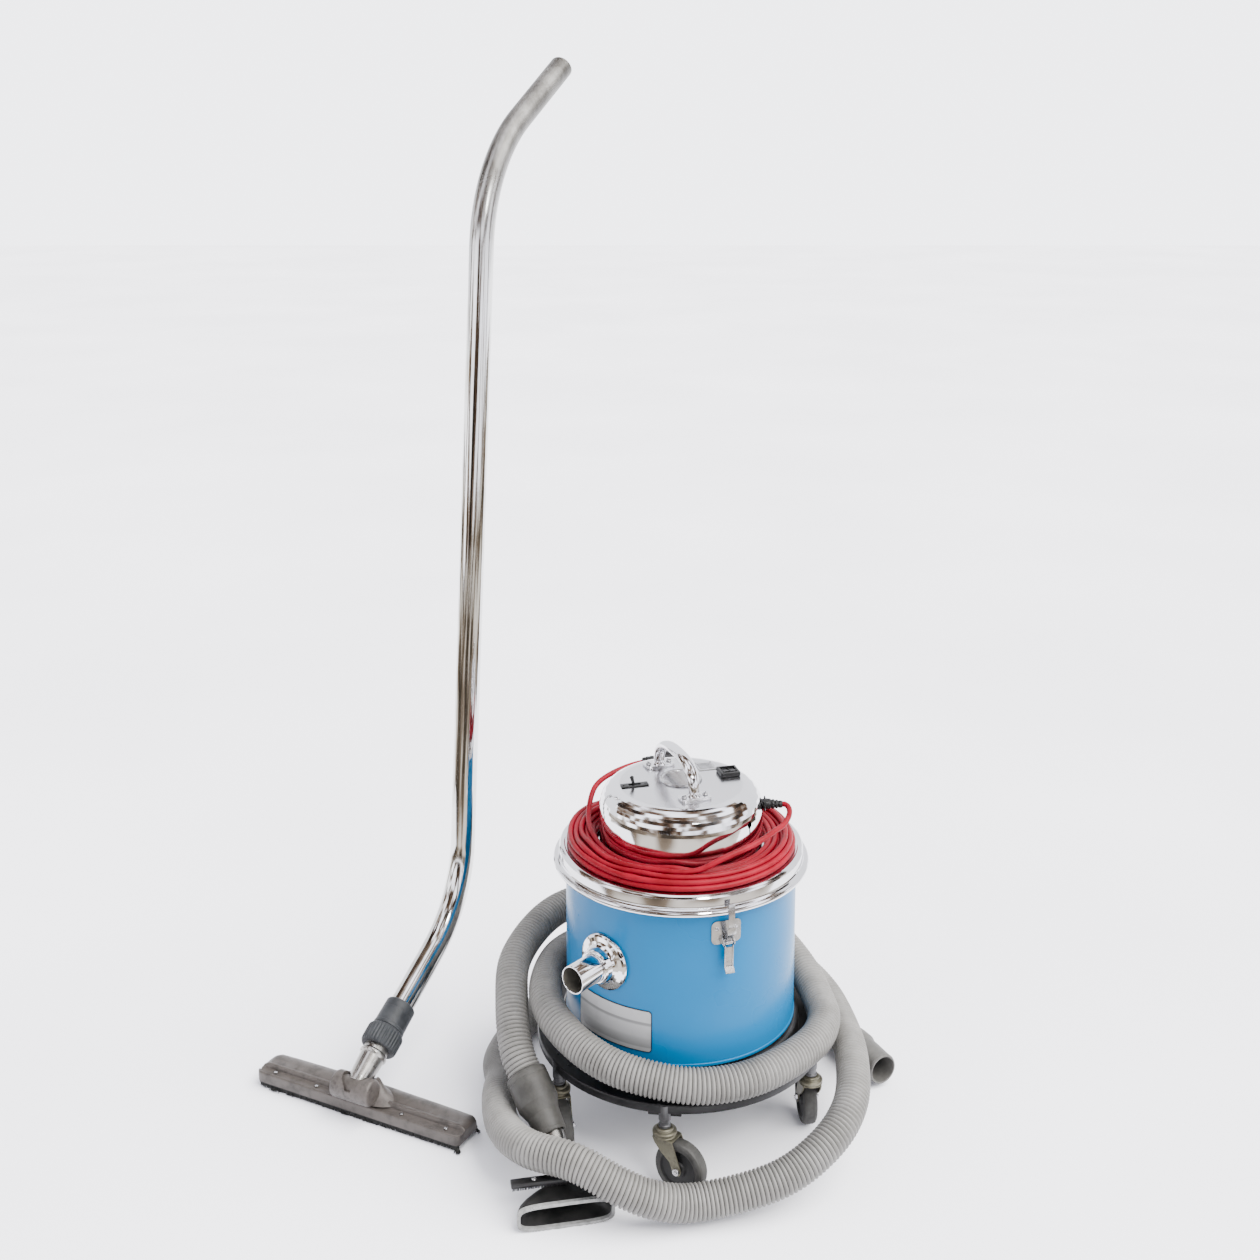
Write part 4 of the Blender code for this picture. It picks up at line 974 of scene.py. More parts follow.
def dolly_tray():
    profile = [
        (0.0, 0.1485), (0.1680, 0.1485), (0.1715, 0.1455), (0.1720, 0.1230), (0.1760, 0.1215),
        (0.2040, 0.1215), (0.2065, 0.1225), (0.2080, 0.1200), (0.2080, 0.1100), (0.2050, 0.1100),
        (0.2050, 0.1170), (0.1670, 0.1170), (0.1670, 0.1425), (0.0, 0.1425),
    ]
    parts = [lathe(profile, 128, fillet=0.0018)]
    for angle in CASTER_ANGLES:
        low = RACE_TOP + GAP
        post = lathe([
            (0.0, 0.121), (0.0085, 0.121), (0.0085, low + 0.010), (0.0074, low + 0.009),
            (0.0074, low + 0.004), (0.0085, low + 0.003), (0.0085, low), (0.0, low),
        ], 32, fillet=0.0005)
        bmesh.ops.translate(post, vec=polar(0.201, angle), verts=post.verts)
        parts.append(paint_faces(post, lambda c: True, 1))
        lug = box((0.022, 0.046, 0.014), (-0.006, 0, 0), 0.0016)
        place = Matrix.Translation(polar(0.198, angle, 0.1105)) @ about_z(angle).to_4x4()
        parts.append(moved(lug, place))
        rivet = lathe([(0, 0.0014), (0.0025, 0.0010), (0.0034, 0)], 20)
        for side in (-1, 1):
            spot = Matrix.Translation(polar(0.192, angle, 0.1214)) @ about_z(angle).to_4x4()
            dome_head = rivet.copy()
            bmesh.ops.translate(dome_head, vec=(0, side * 0.016, 0), verts=dome_head.verts)
            parts.append(moved(dome_head, spot))
        rivet.free()
    return piece("dolly", merge(*parts), [TRAY, STEM], "base", "dolly_tray", "tray_black")


def caster_fork():
    half = 0.0105 + 0.0012
    axle = 0.037 - RACE_TOP
    race = [
        (0.0, 0.0), (0.0105, 0.0), (0.0118, -0.0012), (0.0122, -0.0030), (0.0150, -0.0042),
        (0.0165, -0.0055), (0.0168, -0.0082), (0.0156, -0.0092), (0.0158, -0.0100),
        (0.0165, -0.0106), (0.0165, -0.0116), (0.0, -0.0116),
    ]
    parts = [lathe(race, 56, fillet=0.0008)]
    crown = outline([
        (-0.0125, -half + 0.002), (-0.0100, -half - 0.0018), (0.0165, -half - 0.0018),
        (0.0195, -half + 0.001), (0.0200, 0.0), (0.0195, half - 0.001), (0.0165, half + 0.0018),
        (-0.0100, half + 0.0018), (-0.0125, half - 0.002),
    ], -0.0132, -0.0108, 0.0007, "XY")
    parts.append(crown)
    for side in (-1, 1):
        leg = [
            (-0.0122, -0.0115), (0.0185, -0.0115), (0.0245, -0.026), (0.0325, axle + 0.004),
            (0.0328, axle), (0.0312, axle - 0.0042), (0.0285, axle - 0.0062), (0.026, axle - 0.0068),
            (0.0235, axle - 0.0062), (0.0205, axle - 0.0042), (0.0188, axle), (0.0150, axle + 0.010),
            (0.0010, -0.0300), (-0.0085, -0.0195),
        ]
        low, high = (half, half + 0.0018) if side > 0 else (-half - 0.0018, -half)
        parts.append(outline(leg, low, high, 0.0005))
        nut = lathe([
            (0, 0.0046), (0.0018, 0.0046), (0.0022, 0.0038), (0.0022, 0.0030), (0.0046, 0.0028),
            (0.0050, 0.0022), (0.0050, 0.0), (0, 0.0),
        ], 6 if side > 0 else 24)
        turn = Matrix.Rotation(-side * math.pi / 2, 4, "X")
        place = Matrix.Translation((0.026, side * (half + 0.0018), axle)) @ turn
        parts.append(paint_faces(moved(nut, place), lambda c: True, 1))
    pin = rod(0.0040, 2 * half, 24, (0.026, 0, axle), "Y")
    parts.append(paint_faces(pin, lambda c: True, 1))
    return merge(*parts)


def caster_wheel():
    half = 0.0105
    profile = [
        (0.0044, half - 0.0004), (0.0085, half - 0.0004), (0.0100, half - 0.0012),
        (0.0112, half - 0.0032), (0.0245, half - 0.0036), (0.0262, half - 0.0022),
        (0.0272, half - 0.0006), (0.0292, half - 0.0002), (0.0330, half - 0.0008),
        (0.0356, half - 0.0024), (0.0368, half - 0.0052), (0.0370, 0.0),
    ]
    whole = profile + [(r, -z) for r, z in reversed(profile[:-1])]
    bm = lathe(whole, 84, closed=True, fillet=0.0008)
    for face in bm.faces:
        spot = face.calc_center_median()
        face.material_index = 1 if math.hypot(spot.x, spot.y) < 0.0268 else 0
    bm.transform(Matrix.Rotation(math.pi / 2, 4, "X"))
    return bm


def casters():
    for i, (angle, trail) in enumerate(zip(CASTER_ANGLES, CASTER_TRAILS), start=1):
        stem = polar(0.201, angle, RACE_TOP)
        turn = about_z(trail)
        piece("caster_frame_%d" % i, caster_fork(), [ZINC, STEEL], "caster_%d" % i,
              "caster_fork_%d" % i, "zinc", stem, turn)
        axle = stem + turn @ Vector((0.026, 0, 0.037 - RACE_TOP))
        piece("caster_roller_%d" % i, caster_wheel(), [TYRE, HUB], "wheel_%d" % i,
              "caster_wheel_%d" % i, "wheel_rubber", axle, turn)


# ------------------------------------------------------------------ drum

def drum():
    inner = DRUM_R - 0.0016
    profile = [
        (0.0, DRUM_BOTTOM + 0.0016), (inner - 0.004, DRUM_BOTTOM + 0.0016),
        (inner, DRUM_BOTTOM + 0.0056), (inner, DRUM_TOP), (DRUM_R + 0.004, DRUM_TOP),
        (DRUM_R + 0.0055, DRUM_TOP - 0.0015), (DRUM_R + 0.0055, DRUM_TOP - 0.0085),
        (DRUM_R + 0.004, DRUM_TOP - 0.010), (DRUM_R, DRUM_TOP - 0.011),
        (DRUM_R, 0.300), (DRUM_R, 0.230), (DRUM_R, DRUM_BOTTOM + 0.0068),
        (DRUM_R + 0.0009, DRUM_BOTTOM + 0.0058), (DRUM_R + 0.0009, DRUM_BOTTOM + 0.0024),
        (DRUM_R - 0.0015, DRUM_BOTTOM), (0.0, DRUM_BOTTOM),
    ]
    bm = lathe(profile, 192, fillet=0.0010)
    for face in bm.faces:
        spot = face.calc_center_median()
        if math.hypot(spot.x, spot.y) < DRUM_R - 0.001 and spot.z > DRUM_BOTTOM + 0.001:
            face.material_index = 1
    obj = piece("drum", bm, [BLUE, STEEL], "drum", "drum_shell", "blue_paint")
    hole = rod(0.0193, 0.06, 64)
    mesh = finish_mesh(hole, "hole")
    cutter = bpy.data.objects.new("hole", mesh)
    bpy.context.scene.collection.objects.link(cutter)
    spot = AXIS + polar(DRUM_R, INLET_ANGLE, INLET_Z)
    cutter.matrix_world = Matrix.Translation(spot) @ along(polar(1.0, INLET_ANGLE)).to_4x4()
    cut(obj, cutter)


def cut(obj, *cutters):
    """Takes the cutters out of the piece and keeps its looks."""
    bpy.context.view_layer.update()
    for cutter in cutters:
        mod = obj.modifiers.new("cut", "BOOLEAN")
        mod.operation = "DIFFERENCE"
        mod.solver = "EXACT"
        mod.object = cutter
        graph = bpy.context.evaluated_depsgraph_get()
        made = bpy.data.meshes.new_from_object(obj.evaluated_get(graph))
        obj.modifiers.clear()
        old = obj.data
        name = old.name
        obj.data = made
        bpy.data.meshes.remove(old)
        made.name = name
        bpy.data.objects.remove(cutter, do_unlink=True)
        bpy.context.view_layer.update()
    obj.data.shade_smooth()
    obj.data.set_sharp_from_angle(angle=math.radians(38.0))


def cutting_piece(bm, at, turn=None):
    obj = bpy.data.objects.new("cutter", finish_mesh(bm, "cutter"))
    bpy.context.scene.collection.objects.link(obj)
    frame_turn = turn if turn is not None else Matrix.Identity(3)
    obj.matrix_world = Matrix.Translation(AXIS + Vector(at)) @ frame_turn.to_4x4()
    return obj


def inlet():
    turn = along(polar(1.0, INLET_ANGLE))
    bm = lathe([
        (0.0193, 0.1885), (0.0212, 0.1892), (0.0226, 0.1882), (0.0238, 0.1850), (0.0250, 0.1775),
        (0.0272, 0.1742), (0.0310, 0.1725), (0.0362, 0.1708), (0.0390, 0.1690), (0.0402, 0.1664),
        (0.0398, 0.1648), (0.0375, 0.1640), (0.0375, 0.158), (0.0193, 0.158),
    ], 128, closed=True, fillet=0.0010)
    obj = piece("inlet_rosette", bm, CHROME, "drum", "inlet_flange", "chrome", (0, 0, INLET_Z), turn)
    body = rod(DRUM_R + 0.0002, 0.20, 256)
    cut(obj, cutting_piece(body, (0, 0, INLET_Z)))
    pipe = [
        (0.0174, 0.2305), (0.0180, 0.231), (0.0187, 0.231), (0.0190, 0.2304), (0.0190, 0.152),
        (0.0174, 0.152),
    ]
    bm = lathe(pipe, 96, closed=True)
    for face in bm.faces:
        spot = face.calc_center_median()
        face.material_index = 1 if math.hypot(spot.x, spot.y) < 0.0176 else 0
    piece("inlet_tube", bm, [CHROME, INSIDE], "drum", "inlet_pipe", "chrome", (0, 0, INLET_Z), turn)


def arc_plate(inner, outer, half_angle, low, high, count, corner):
    """A rounded plate bent round Z, centred on +X."""
    wide = math.radians(half_angle) * outer
    tall = (high - low) / 2
    mid = (high + low) / 2
    ring = []
    for cx, cz, begin in ((1, 1, 0), (-1, 1, 90), (-1, -1, 180), (1, -1, 270)):
        for k in range(7):
            a = math.radians(begin + 15 * k)
            u = cx * (wide - corner) + corner * math.cos(a)
            v = cz * (tall - corner) + corner * math.sin(a)
            ring.append((u, v))
    bm = bmesh.new()
    flat = [bm.verts.new((u, 0.0, v)) for u, v in ring]
    bm.faces.new(flat)
    for k in range(1, count):
        u = -wide + 2 * wide * k / count
        geom = bm.verts[:] + bm.edges[:] + bm.faces[:]
        bmesh.ops.bisect_plane(bm, geom=geom, plane_co=(u, 0, 0), plane_no=(1, 0, 0))
    made = bmesh.ops.extrude_face_region(bm, geom=bm.faces[:])
    raised = {v for v in made["geom"] if isinstance(v, bmesh.types.BMVert)}
    for v in bm.verts:
        a = v.co.x / outer
        r = outer if v in raised else inner
        v.co = Vector((r * math.cos(a), r * math.sin(a), mid + v.co.z))
    return bm


def plate_look():
    """White enamel plate: a thin dark border, a soft grey band and a pale bar, all blank."""
    look = Look("nameplate_enamel", Roughness=0.35)
    split = look.node("ShaderNodeSeparateXYZ", Vector=look.coords)
    height = look.range(split.outputs["Z"], 0.0, 1.0, 0.170, 0.231)
    fade = look.ramp(height, [
        (0.0, 0.20), (0.10, 0.20), (0.12, 0.13), (0.30, 0.18), (0.36, 0.22), (0.62, 0.24),
        (0.66, 0.12), (0.70, 0.12), (0.72, 0.25), (1.0, 0.26),
    ])
    dirt = look.noise(60.0, 8.0, 0.6)
    look.set("Base Color", look.mix(look.range(dirt, 0.0, 0.22, 0.5, 0.8), fade, (0.085, 0.08, 0.072)))
    return look.mat


def nameplate():
    turn = about_z(-127.2)
    back = arc_plate(0.1653, 0.1660, 22.0, 0.170, 0.231, 28, 0.0050)
    front = arc_plate(0.1656, 0.1662, 21.6, 0.1712, 0.2298, 28, 0.0042)
    paint_faces(front, lambda c: True, 1)
    piece("blank_nameplate", merge(back, front), [DARK_STEEL, plate_look()], "drum", "nameplate",
          "white_plate", (0, 0, 0), turn)


def latch(index, angle):
    turn = about_z(angle)
    base = arc_plate(DRUM_R + 0.0002, DRUM_R + 0.0018, 7.4, 0.3300, 0.3630, 14, 0.0072)
    parts = [base]
    for side in (-1, 1):
        ear = [
            (0.1660, 0.3315), (0.1735, 0.3296), (0.1762, 0.3312), (0.1772, 0.3340),
            (0.1762, 0.3368), (0.1735, 0.3386), (0.1660, 0.3440),
        ]
        parts.append(outline(ear, side * 0.0079 - 0.0007, side * 0.0079 + 0.0007, 0.0003))
        rivet = lathe([(0, 0.0012), (0.0018, 0.0009), (0.0028, 0.0)], 20)
        place = about_z(side * 4.7).to_4x4() @ Matrix.Translation((DRUM_R + 0.0017, 0, 0.3520))
        parts.append(moved(rivet, place @ Matrix.Rotation(math.pi / 2, 4, "Y")))
    parts.append(rod(0.0014, 0.0195, 20, (0.1735, 0, 0.334), "Y", 0.0003))
    piece("catch_plate_%d" % index, merge(*parts), STEEL, "drum", "latch_base_%d" % index, "steel",
          (0, 0, 0), turn)

    pivot = polar(0.1735, angle, 0.334)
    strap = [
        (-0.0006, 0.0020), (0.0102, 0.0176), (0.0110, 0.0195), (0.0110, 0.0592), (0.0104, 0.0603),
        (0.0094, 0.0607), (0.0080, 0.0605), (0.0080, 0.0593), (0.0092, 0.0593), (0.0098, 0.0586),
        (0.0098, 0.0198), (-0.0018, 0.0029),
    ]
    hook = outline(strap, -0.0045, 0.0045, 0.0003)
    plate = box((0.0012, 0.0120, 0.0110), (0.0111, 0, 0.0225), 0.0005)
    eye = rod(0.0026, 0.0098, 24, (0.0002, 0, 0.0004), "Y", 0.0004)
    piece("catch_hook_%d" % index, merge(hook, plate, eye), STEEL, "hook_%d" % index,
          "latch_hook_%d" % index, "steel", pivot, turn)
    rail = [
        (-0.0010, -0.0022), (0.0032, -0.0022), (0.0030, -0.0100), (0.0024, -0.0320),
        (0.0022, -0.0350), (0.0002, -0.0345), (0.0006, -0.0100),
    ]
    sides = [outline(rail, y - 0.0008, y + 0.0008, 0.0003) for y in (-0.0058, 0.0058)]
    back = outline([(0.0004, -0.0060), (0.0014, -0.0060), (0.0012, -0.0345), (0.0002, -0.0345)],
                   -0.0060, 0.0060, 0.0002)
    lip = outline([
        (0.0004, -0.0330), (0.0024, -0.0330), (0.0052, -0.0362), (0.0078, -0.0400),
        (0.0074, -0.0410), (0.0066, -0.0408), (0.0036, -0.0374), (0.0004, -0.0352),
    ], -0.0066, 0.0066, 0.0003)
    piece("catch_lever_%d" % index, merge(*sides, back, lip), STEEL, "lever_%d" % index,
          "latch_lever_%d" % index, "steel", pivot, turn)


# ------------------------------------------------------------------ head

def lid():
    profile = [
        (0.052, LID_TOP), (0.1215, LID_TOP), (0.1235, LID_TOP - 0.0004), (0.1255, LID_TOP),
        (0.1660, LID_TOP), (0.1678, LID_TOP + 0.0006), (0.1700, LID_TOP + 0.0004),
        (0.1725, LID_TOP - 0.0010), (0.1745, LID_TOP - 0.0035), (0.1750, LID_TOP - 0.0140),
        (0.1755, 0.3885), (0.1780, 0.3871), (0.1815, 0.3860), (0.1828, 0.3842), (0.1830, 0.3825),
        (0.1826, 0.3806), (0.1812, 0.3790), (0.1780, 0.3780), (0.1750, 0.3785), (0.1732, 0.3810),
        (0.1732, 0.3990), (0.1715, 0.4022), (0.052, 0.4022),
    ]
    piece("lid_ring", lathe(profile, 224, closed=True, fillet=0.0009), CHROME_BRIM, "head", "lid", "chrome")
    seal = lathe([(0.1625, 0.3985), (0.1702, 0.3985), (0.1702, 0.4017), (0.1625, 0.4017)], 128,
                 closed=True, fillet=0.0010)
    piece("lid_seal", seal, SEAL, "head", "lid_gasket", "seal_rubber")


def dome():
    profile = [
        (0.0, DOME_TOP), (0.0880, DOME_TOP), (0.0922, DOME_TOP - 0.0005), (0.0962, DOME_TOP - 0.0015),
        (0.1002, DOME_TOP - 0.0032), (0.1040, DOME_TOP - 0.0055), (0.1075, DOME_TOP - 0.0086),
        (0.1105, DOME_TOP - 0.0124), (0.1128, DOME_TOP - 0.0166), (0.1146, DOME_TOP - 0.0212),
        (0.1158, DOME_TOP - 0.0262), (0.1165, DOME_TOP - 0.0316), (0.1168, DOME_TOP - 0.0420),
        (0.1170, LID_TOP + GAP), (0.1154, LID_TOP + GAP), (0.1151, DOME_TOP - 0.0420),
        (0.1147, DOME_TOP - 0.0314), (0.1129, DOME_TOP - 0.0218), (0.1092, DOME_TOP - 0.0138),
        (0.1031, DOME_TOP - 0.0070), (0.0955, DOME_TOP - 0.0031), (0.0875, DOME_TOP - 0.0017),
        (0.0, DOME_TOP - 0.0017),
    ]
    bm = lathe(profile, 192, fillet=0.0030)
    for face in bm.faces:
        spot = face.calc_center_median()
        if math.hypot(spot.x, spot.y) < 0.0900 and spot.z > DOME_TOP - 0.001:
            face.material_index = 1
    obj = piece("powerhead_dome", bm, [CHROME, CHROME_TOP], "head", "dome", "chrome")
    turn = about_z(HEAD_TURN)
    cutters = [
        cutting_piece(rod(0.0285, 0.02, 64), (0.0, 0.012, DOME_TOP)),
        cutting_piece(box((0.030, 0.0068, 0.02)), (-0.0665, -0.0105, DOME_TOP), turn),
        cutting_piece(box((0.0224, 0.0214, 0.02)), (0.0690, 0.0310, DOME_TOP), turn),
        cutting_piece(rod(0.0073, 0.03, 32), polar(0.112, RELIEF_ANGLE, RELIEF_Z),
                      along(polar(1.0, RELIEF_ANGLE))),
        cutting_piece(box((0.03, 0.0030, 0.013)), polar(0.114, -37.0, 0.4520), about_z(-37.0)),
        cutting_piece(rod(0.0048, 0.03, 32), polar(0.112, -37.0, 0.4590), along(polar(1.0, -37.0))),
        cutting_piece(box((0.03, 0.0150, 0.0040)), polar(0.118, -58.0, 0.4085), about_z(-58.0)),
    ]
    cut(obj, *cutters)


def vent():
    """A round pressed louvre: a rolled rim, slats that lean, and below them a black disc that is painted
    shade for the dark space under the slats.
    """
    rim = lathe([
        (0.0245, 0.4918), (0.0305, 0.4918), (0.0305, 0.4928), (0.0296, 0.4942), (0.0275, 0.4948),
        (0.0254, 0.4940), (0.0245, 0.4926),
    ], 72, closed=True, fillet=0.0005)
    parts = [rim]
    for k in range(-5, 6):
        y = k * 0.0043
        reach = math.sqrt(0.0258 ** 2 - y * y)
        slat = box((2 * reach, 0.0030, 0.0008), (0, 0, 0), 0.0003)
        lean = Matrix.Rotation(math.radians(28.0), 4, "X")
        parts.append(moved(slat, Matrix.Translation((0, y, 0.4932)) @ lean))
    # Black disc under the slats: painted shade standing for the dark opening.
    painted_shade_disc = lathe([(0, 0.4902), (0.0275, 0.4902), (0.0275, 0.4896), (0, 0.4896)], 48)
    parts.append(paint_faces(painted_shade_disc, lambda c: True, 1))
    piece("vent_louvre", merge(*parts), [STEEL, HUB], "head", "vent_grille", "chrome", (0.0, 0.012, 0),
          about_z(HEAD_TURN))


def toggle():
    turn = about_z(HEAD_TURN)
    spot = Vector((-0.0665, -0.0105, 0))
    plate = box((0.040, 0.0125, 0.0016), (0, 0, DOME_TOP + GAP + 0.0008), 0.0006)
    screws = []
    for side in (-1, 1):
        head = lathe([(0, 0.0008), (0.0014, 0.0006), (0.0020, 0.0)], 20)
        screws.append(shift(head, (side * 0.0158, 0, DOME_TOP + GAP + 0.0015)))
    obj = piece("toggle_cover", merge(plate, *screws), BLACK, "head", "toggle_plate", "black_plastic",
                spot, turn)
    cut(obj, cutting_piece(box((0.018, 0.0052, 0.02)), spot + Vector((0, 0, DOME_TOP)), turn))
    stick = lathe([
        (0, 0.0190), (0.0018, 0.0189), (0.0028, 0.0180), (0.0030, 0.0168), (0.0024, 0.0148),
        (0.0020, 0.0060), (0.0021, 0.0020), (0, 0.0020),
    ], 28, fillet=0.0005)
    hub = rod(0.0026, 0.0046, 28, (0, 0, 0), "Y", 0.0004)
    lean = Matrix.Rotation(math.radians(-14.0), 3, "Y")
    piece("toggle_stick", merge(stick, hub), BLACK, "toggle", "toggle_lever", "steel",
          spot + Vector((0, 0, DOME_TOP - 0.004)), turn @ lean)


def rockers():
    turn = about_z(HEAD_TURN)
    spot = Vector((0.0690, 0.0310, 0))
    frame_box = box((0.0290, 0.0270, 0.0068), (0, 0, DOME_TOP + GAP + 0.0034), 0.0012)
    obj = piece("rocker_frame", frame_box, BLACK, "head", "rocker_bezel", "black_plastic", spot, turn)
    cut(obj, cutting_piece(box((0.0216, 0.0206, 0.03)), spot + Vector((0, 0, DOME_TOP)), turn))
    shape = [
        (-0.0090, 0.0042), (-0.0060, 0.0034), (0.0, 0.0021), (0.0050, 0.0010), (0.0090, 0.0007),
        (0.0080, -0.0060), (-0.0080, -0.0060),
    ]
    for index, side in ((1, -1), (2, 1)):
        low = side * 0.0053 - 0.0046
        bm = outline(shape, low, low + 0.0092, 0.0005)
        bm.transform(Matrix.Rotation(math.pi / 2, 4, "Z"))
        piece("rocker_key_%d" % index, bm, BLACK, "rocker_" + "ab"[index - 1], "rocker_%d" % index,
              "black_plastic", spot + Vector((0, 0, DOME_TOP + 0.0040)), turn)


def rating_plate():
    """A thin blank data plate with four pins and a few engraved rules."""
    parts = [box((0.0270, 0.0300, 0.0006), (0, 0, DOME_TOP + GAP + 0.0003), 0.0003)]
    top = DOME_TOP + GAP + 0.0006
    for k in range(5):
        rule = box((0.0215, 0.0011, 0.0003), (0, -0.0085 + 0.0042 * k, top), 0.0001)
        parts.append(paint_faces(rule, lambda c: True, 1))
    for x in (-0.0112, 0.0112):
        for y in (-0.0127, 0.0127):
            pin = lathe([(0, 0.0005), (0.0007, 0.0004), (0.0010, 0)], 14)
            parts.append(shift(pin, (x, y, top)))
    piece("data_plate", merge(*parts), [STEEL, DARK_STEEL], "head", "rating_plate", "steel",
          (0.0370, 0.0580, 0), about_z(HEAD_TURN))


def handle():
    rear = Vector((-0.0310, 0.0620, 0))
    front = Vector((0.0170, -0.0560, 0))
    line = front - rear
    half = line.length / 2
    facing = about_z(math.degrees(math.atan2(line.y, line.x)))
    centre = (rear + front) / 2 + Vector((0, 0, DOME_TOP + GAP))
    path, radii, flat = [], [], []
    count = 60
    for k in range(count + 1):
        a = math.pi * k / count
        x = -(half - 0.002) * math.copysign(abs(math.cos(a)) ** 0.8, math.cos(a))
        z = 0.0035 + 0.0425 * math.sin(a) ** 0.75
        path.append((x, 0, z))
        lift = min(1.0, z / 0.038)
        radii.append(0.0060 + 0.0006 * lift)
        flat.append(1.20 + 0.28 * lift)
    arch, _ = tube(path, 0.0068, 32, radii=radii, squash=flat)
    parts = [arch]
    for side in (-1, 1):
        pad = outline([
            (0.0115, 0.0195), (0.0100, 0.0218), (0.0078, 0.0225), (-0.0078, 0.0225), (-0.0100, 0.0218),
            (-0.0115, 0.0195), (-0.0115, -0.0195), (-0.0100, -0.0218), (-0.0078, -0.0225),
            (0.0078, -0.0225), (0.0100, -0.0218), (0.0115, -0.0195),
        ], 0.0, 0.0038, 0.0010, "XY")
        parts.append(shift(pad, (side * half, 0, 0)))
        boss = lathe([
            (0.0, 0.0100), (0.0066, 0.0100), (0.0072, 0.0080), (0.0086, 0.0052), (0.0106, 0.0036),
            (0.0106, 0.0030), (0.0, 0.0030),
        ], 48, fillet=0.0010)
        parts.append(shift(boss, (side * (half - 0.002), 0, 0)))
    piece("carry_handle", merge(*parts), CHROME, "head", "handle", "chrome", centre, facing)
    spots = ((half, -0.016), (half, 0.016), (-half, -0.016), (-half, 0.016))
    for index, (x, y) in enumerate(spots, start=1):
        head = lathe([
            (0, 0.0023), (0.0012, 0.0022), (0.0026, 0.0018), (0.0038, 0.0009), (0.0042, 0.0), (0, 0),
        ], 32)
        # The slot is a dark bar across the head: painted shade for the recess.
        slot = paint_faces(box((0.0070, 0.0010, 0.0008), (0, 0, 0.0021)), lambda c: True, 1)
        spot = centre + facing @ Vector((x, y, 0.0042 + GAP))
        piece("handle_bolt_%d" % index, merge(head, slot), [STEEL, DARK_STEEL], "head",
              "handle_screw_%d" % index, "steel", spot, about_z(37.0 * index))


def powerhead_inside():
    can = [
        (0.0, 0.474), (0.018, 0.474), (0.0195, 0.4735), (0.020, 0.468), (0.046, 0.4665), (0.052, 0.463),
        (0.054, 0.458), (0.054, 0.447), (0.0532, 0.446), (0.054, 0.445), (0.054, 0.430), (0.0565, 0.4275),
        (0.065, 0.426), (0.066, 0.425), (0.066, LID_TOP + GAP), (0.0, LID_TOP + GAP),
    ]
    bm = lathe(can, 96, fillet=0.0010)
    # Ten black boxes on the can wall stand for the vent openings: painted shade in place of holes.
    vents = []
    for k in range(10):
        slot = box((0.0012, 0.0070, 0.0120), (0.0540, 0, 0.4375), 0.0004)
        vents.append(paint_faces(moved(slot, about_z(36.0 * k)), lambda c: True, 1))
    piece("motor_can", merge(bm, *vents), [STEEL, HUB], "head", "motor", "steel")
    fan = [
        (0.0, 0.4019), (0.074, 0.4019), (0.0775, 0.400), (0.078, 0.397), (0.078, 0.3885), (0.0772, 0.3880),
        (0.078, 0.3875), (0.078, 0.376), (0.076, 0.3725), (0.070, 0.370), (0.030, 0.370), (0.026, 0.3715),
        (0.0, 0.3715),
    ]
    piece("fan_case", lathe(fan, 96, fillet=0.0008), STEEL, "head", "fan_housing", "steel")
    count = 288
    rings = []
    rows = (
        (0.0965, 0.2575, 0.3), (0.1018, 0.2640, 1.0), (0.1090, 0.3200, 1.0), (0.1180, 0.3900, 0.8),
        (0.1200, 0.3968, 0.0), (0.1600, 0.3975, 0.0), (0.1600, 0.3957, 0.0), (0.1205, 0.3953, 0.0),
        (0.1190, 0.3895, 0.8), (0.1105, 0.3200, 1.0), (0.1035, 0.2630, 1.0), (0.0970, 0.2562, 0.3),
    )
    order = list(rows[0:5]) + list(rows[5:])
    for radius, z, pleat in order:
        ring = []
        for k in range(count):
            a = 2 * math.pi * k / count
            r = radius + 0.0011 * pleat * math.cos(48 * a)
            ring.append(Vector((r * math.cos(a), r * math.sin(a), z)))
        rings.append(ring)
    cup = loft(rings, closed_ends=True)
    piece("filter_bag", cup, FELT, "head", "filter_cup", "filter_cloth")
    cage = [
        (0.0, 0.3005), (0.0375, 0.3005), (0.0375, 0.3697), (0.0400, 0.3697), (0.0400, 0.2995),
        (0.0385, 0.2980), (0.0, 0.2980),
    ]
    obj = piece("float_basket", lathe(cage, 72, fillet=0.0006), STEEL, "head", "float_cage", "steel")
    cutters = []
    for index in range(3):
        slot = box((0.10, 0.014, 0.046), (0, 0, 0), 0.003)
        cutters.append(cutting_piece(slot, (0, 0, 0.333), about_z(60.0 * index)))
    cut(obj, *cutters)


# ------------------------------------------------------------------ wand and floor tool

TOOL_TURN = about_z(TOOL_ANGLE)


def on_plane(s, z):
    return TOOL + TOOL_TURN @ Vector((0, s, 0)) + Vector((0, 0, z))


def neck_axis():
    slope = math.radians(NECK_SLOPE)
    return TOOL_TURN @ Vector((0, math.cos(slope), math.sin(slope)))


def neck_point(t):
    slope = math.radians(NECK_SLOPE)
    return (t * math.cos(slope), NECK_Z + t * math.sin(slope))


def bent_route(corners, radii, arc_points):
    pts = [Vector(c) for c in corners]
    route = [pts[0]]
    for i, radius in enumerate(radii, start=1):
        u = (pts[i] - pts[i - 1]).normalized()
        v = (pts[i + 1] - pts[i]).normalized()
        turn = u.angle(v)
        start = pts[i] - u * (radius * math.tan(turn / 2))
        side = (v - u * v.dot(u)).normalized()
        centre = start + side * radius
        for k in range(arc_points + 1):
            angle = turn * k / arc_points
            route.append(centre + (start - centre) * math.cos(angle) + u * radius * math.sin(angle))
    route.append(pts[-1])
    return route


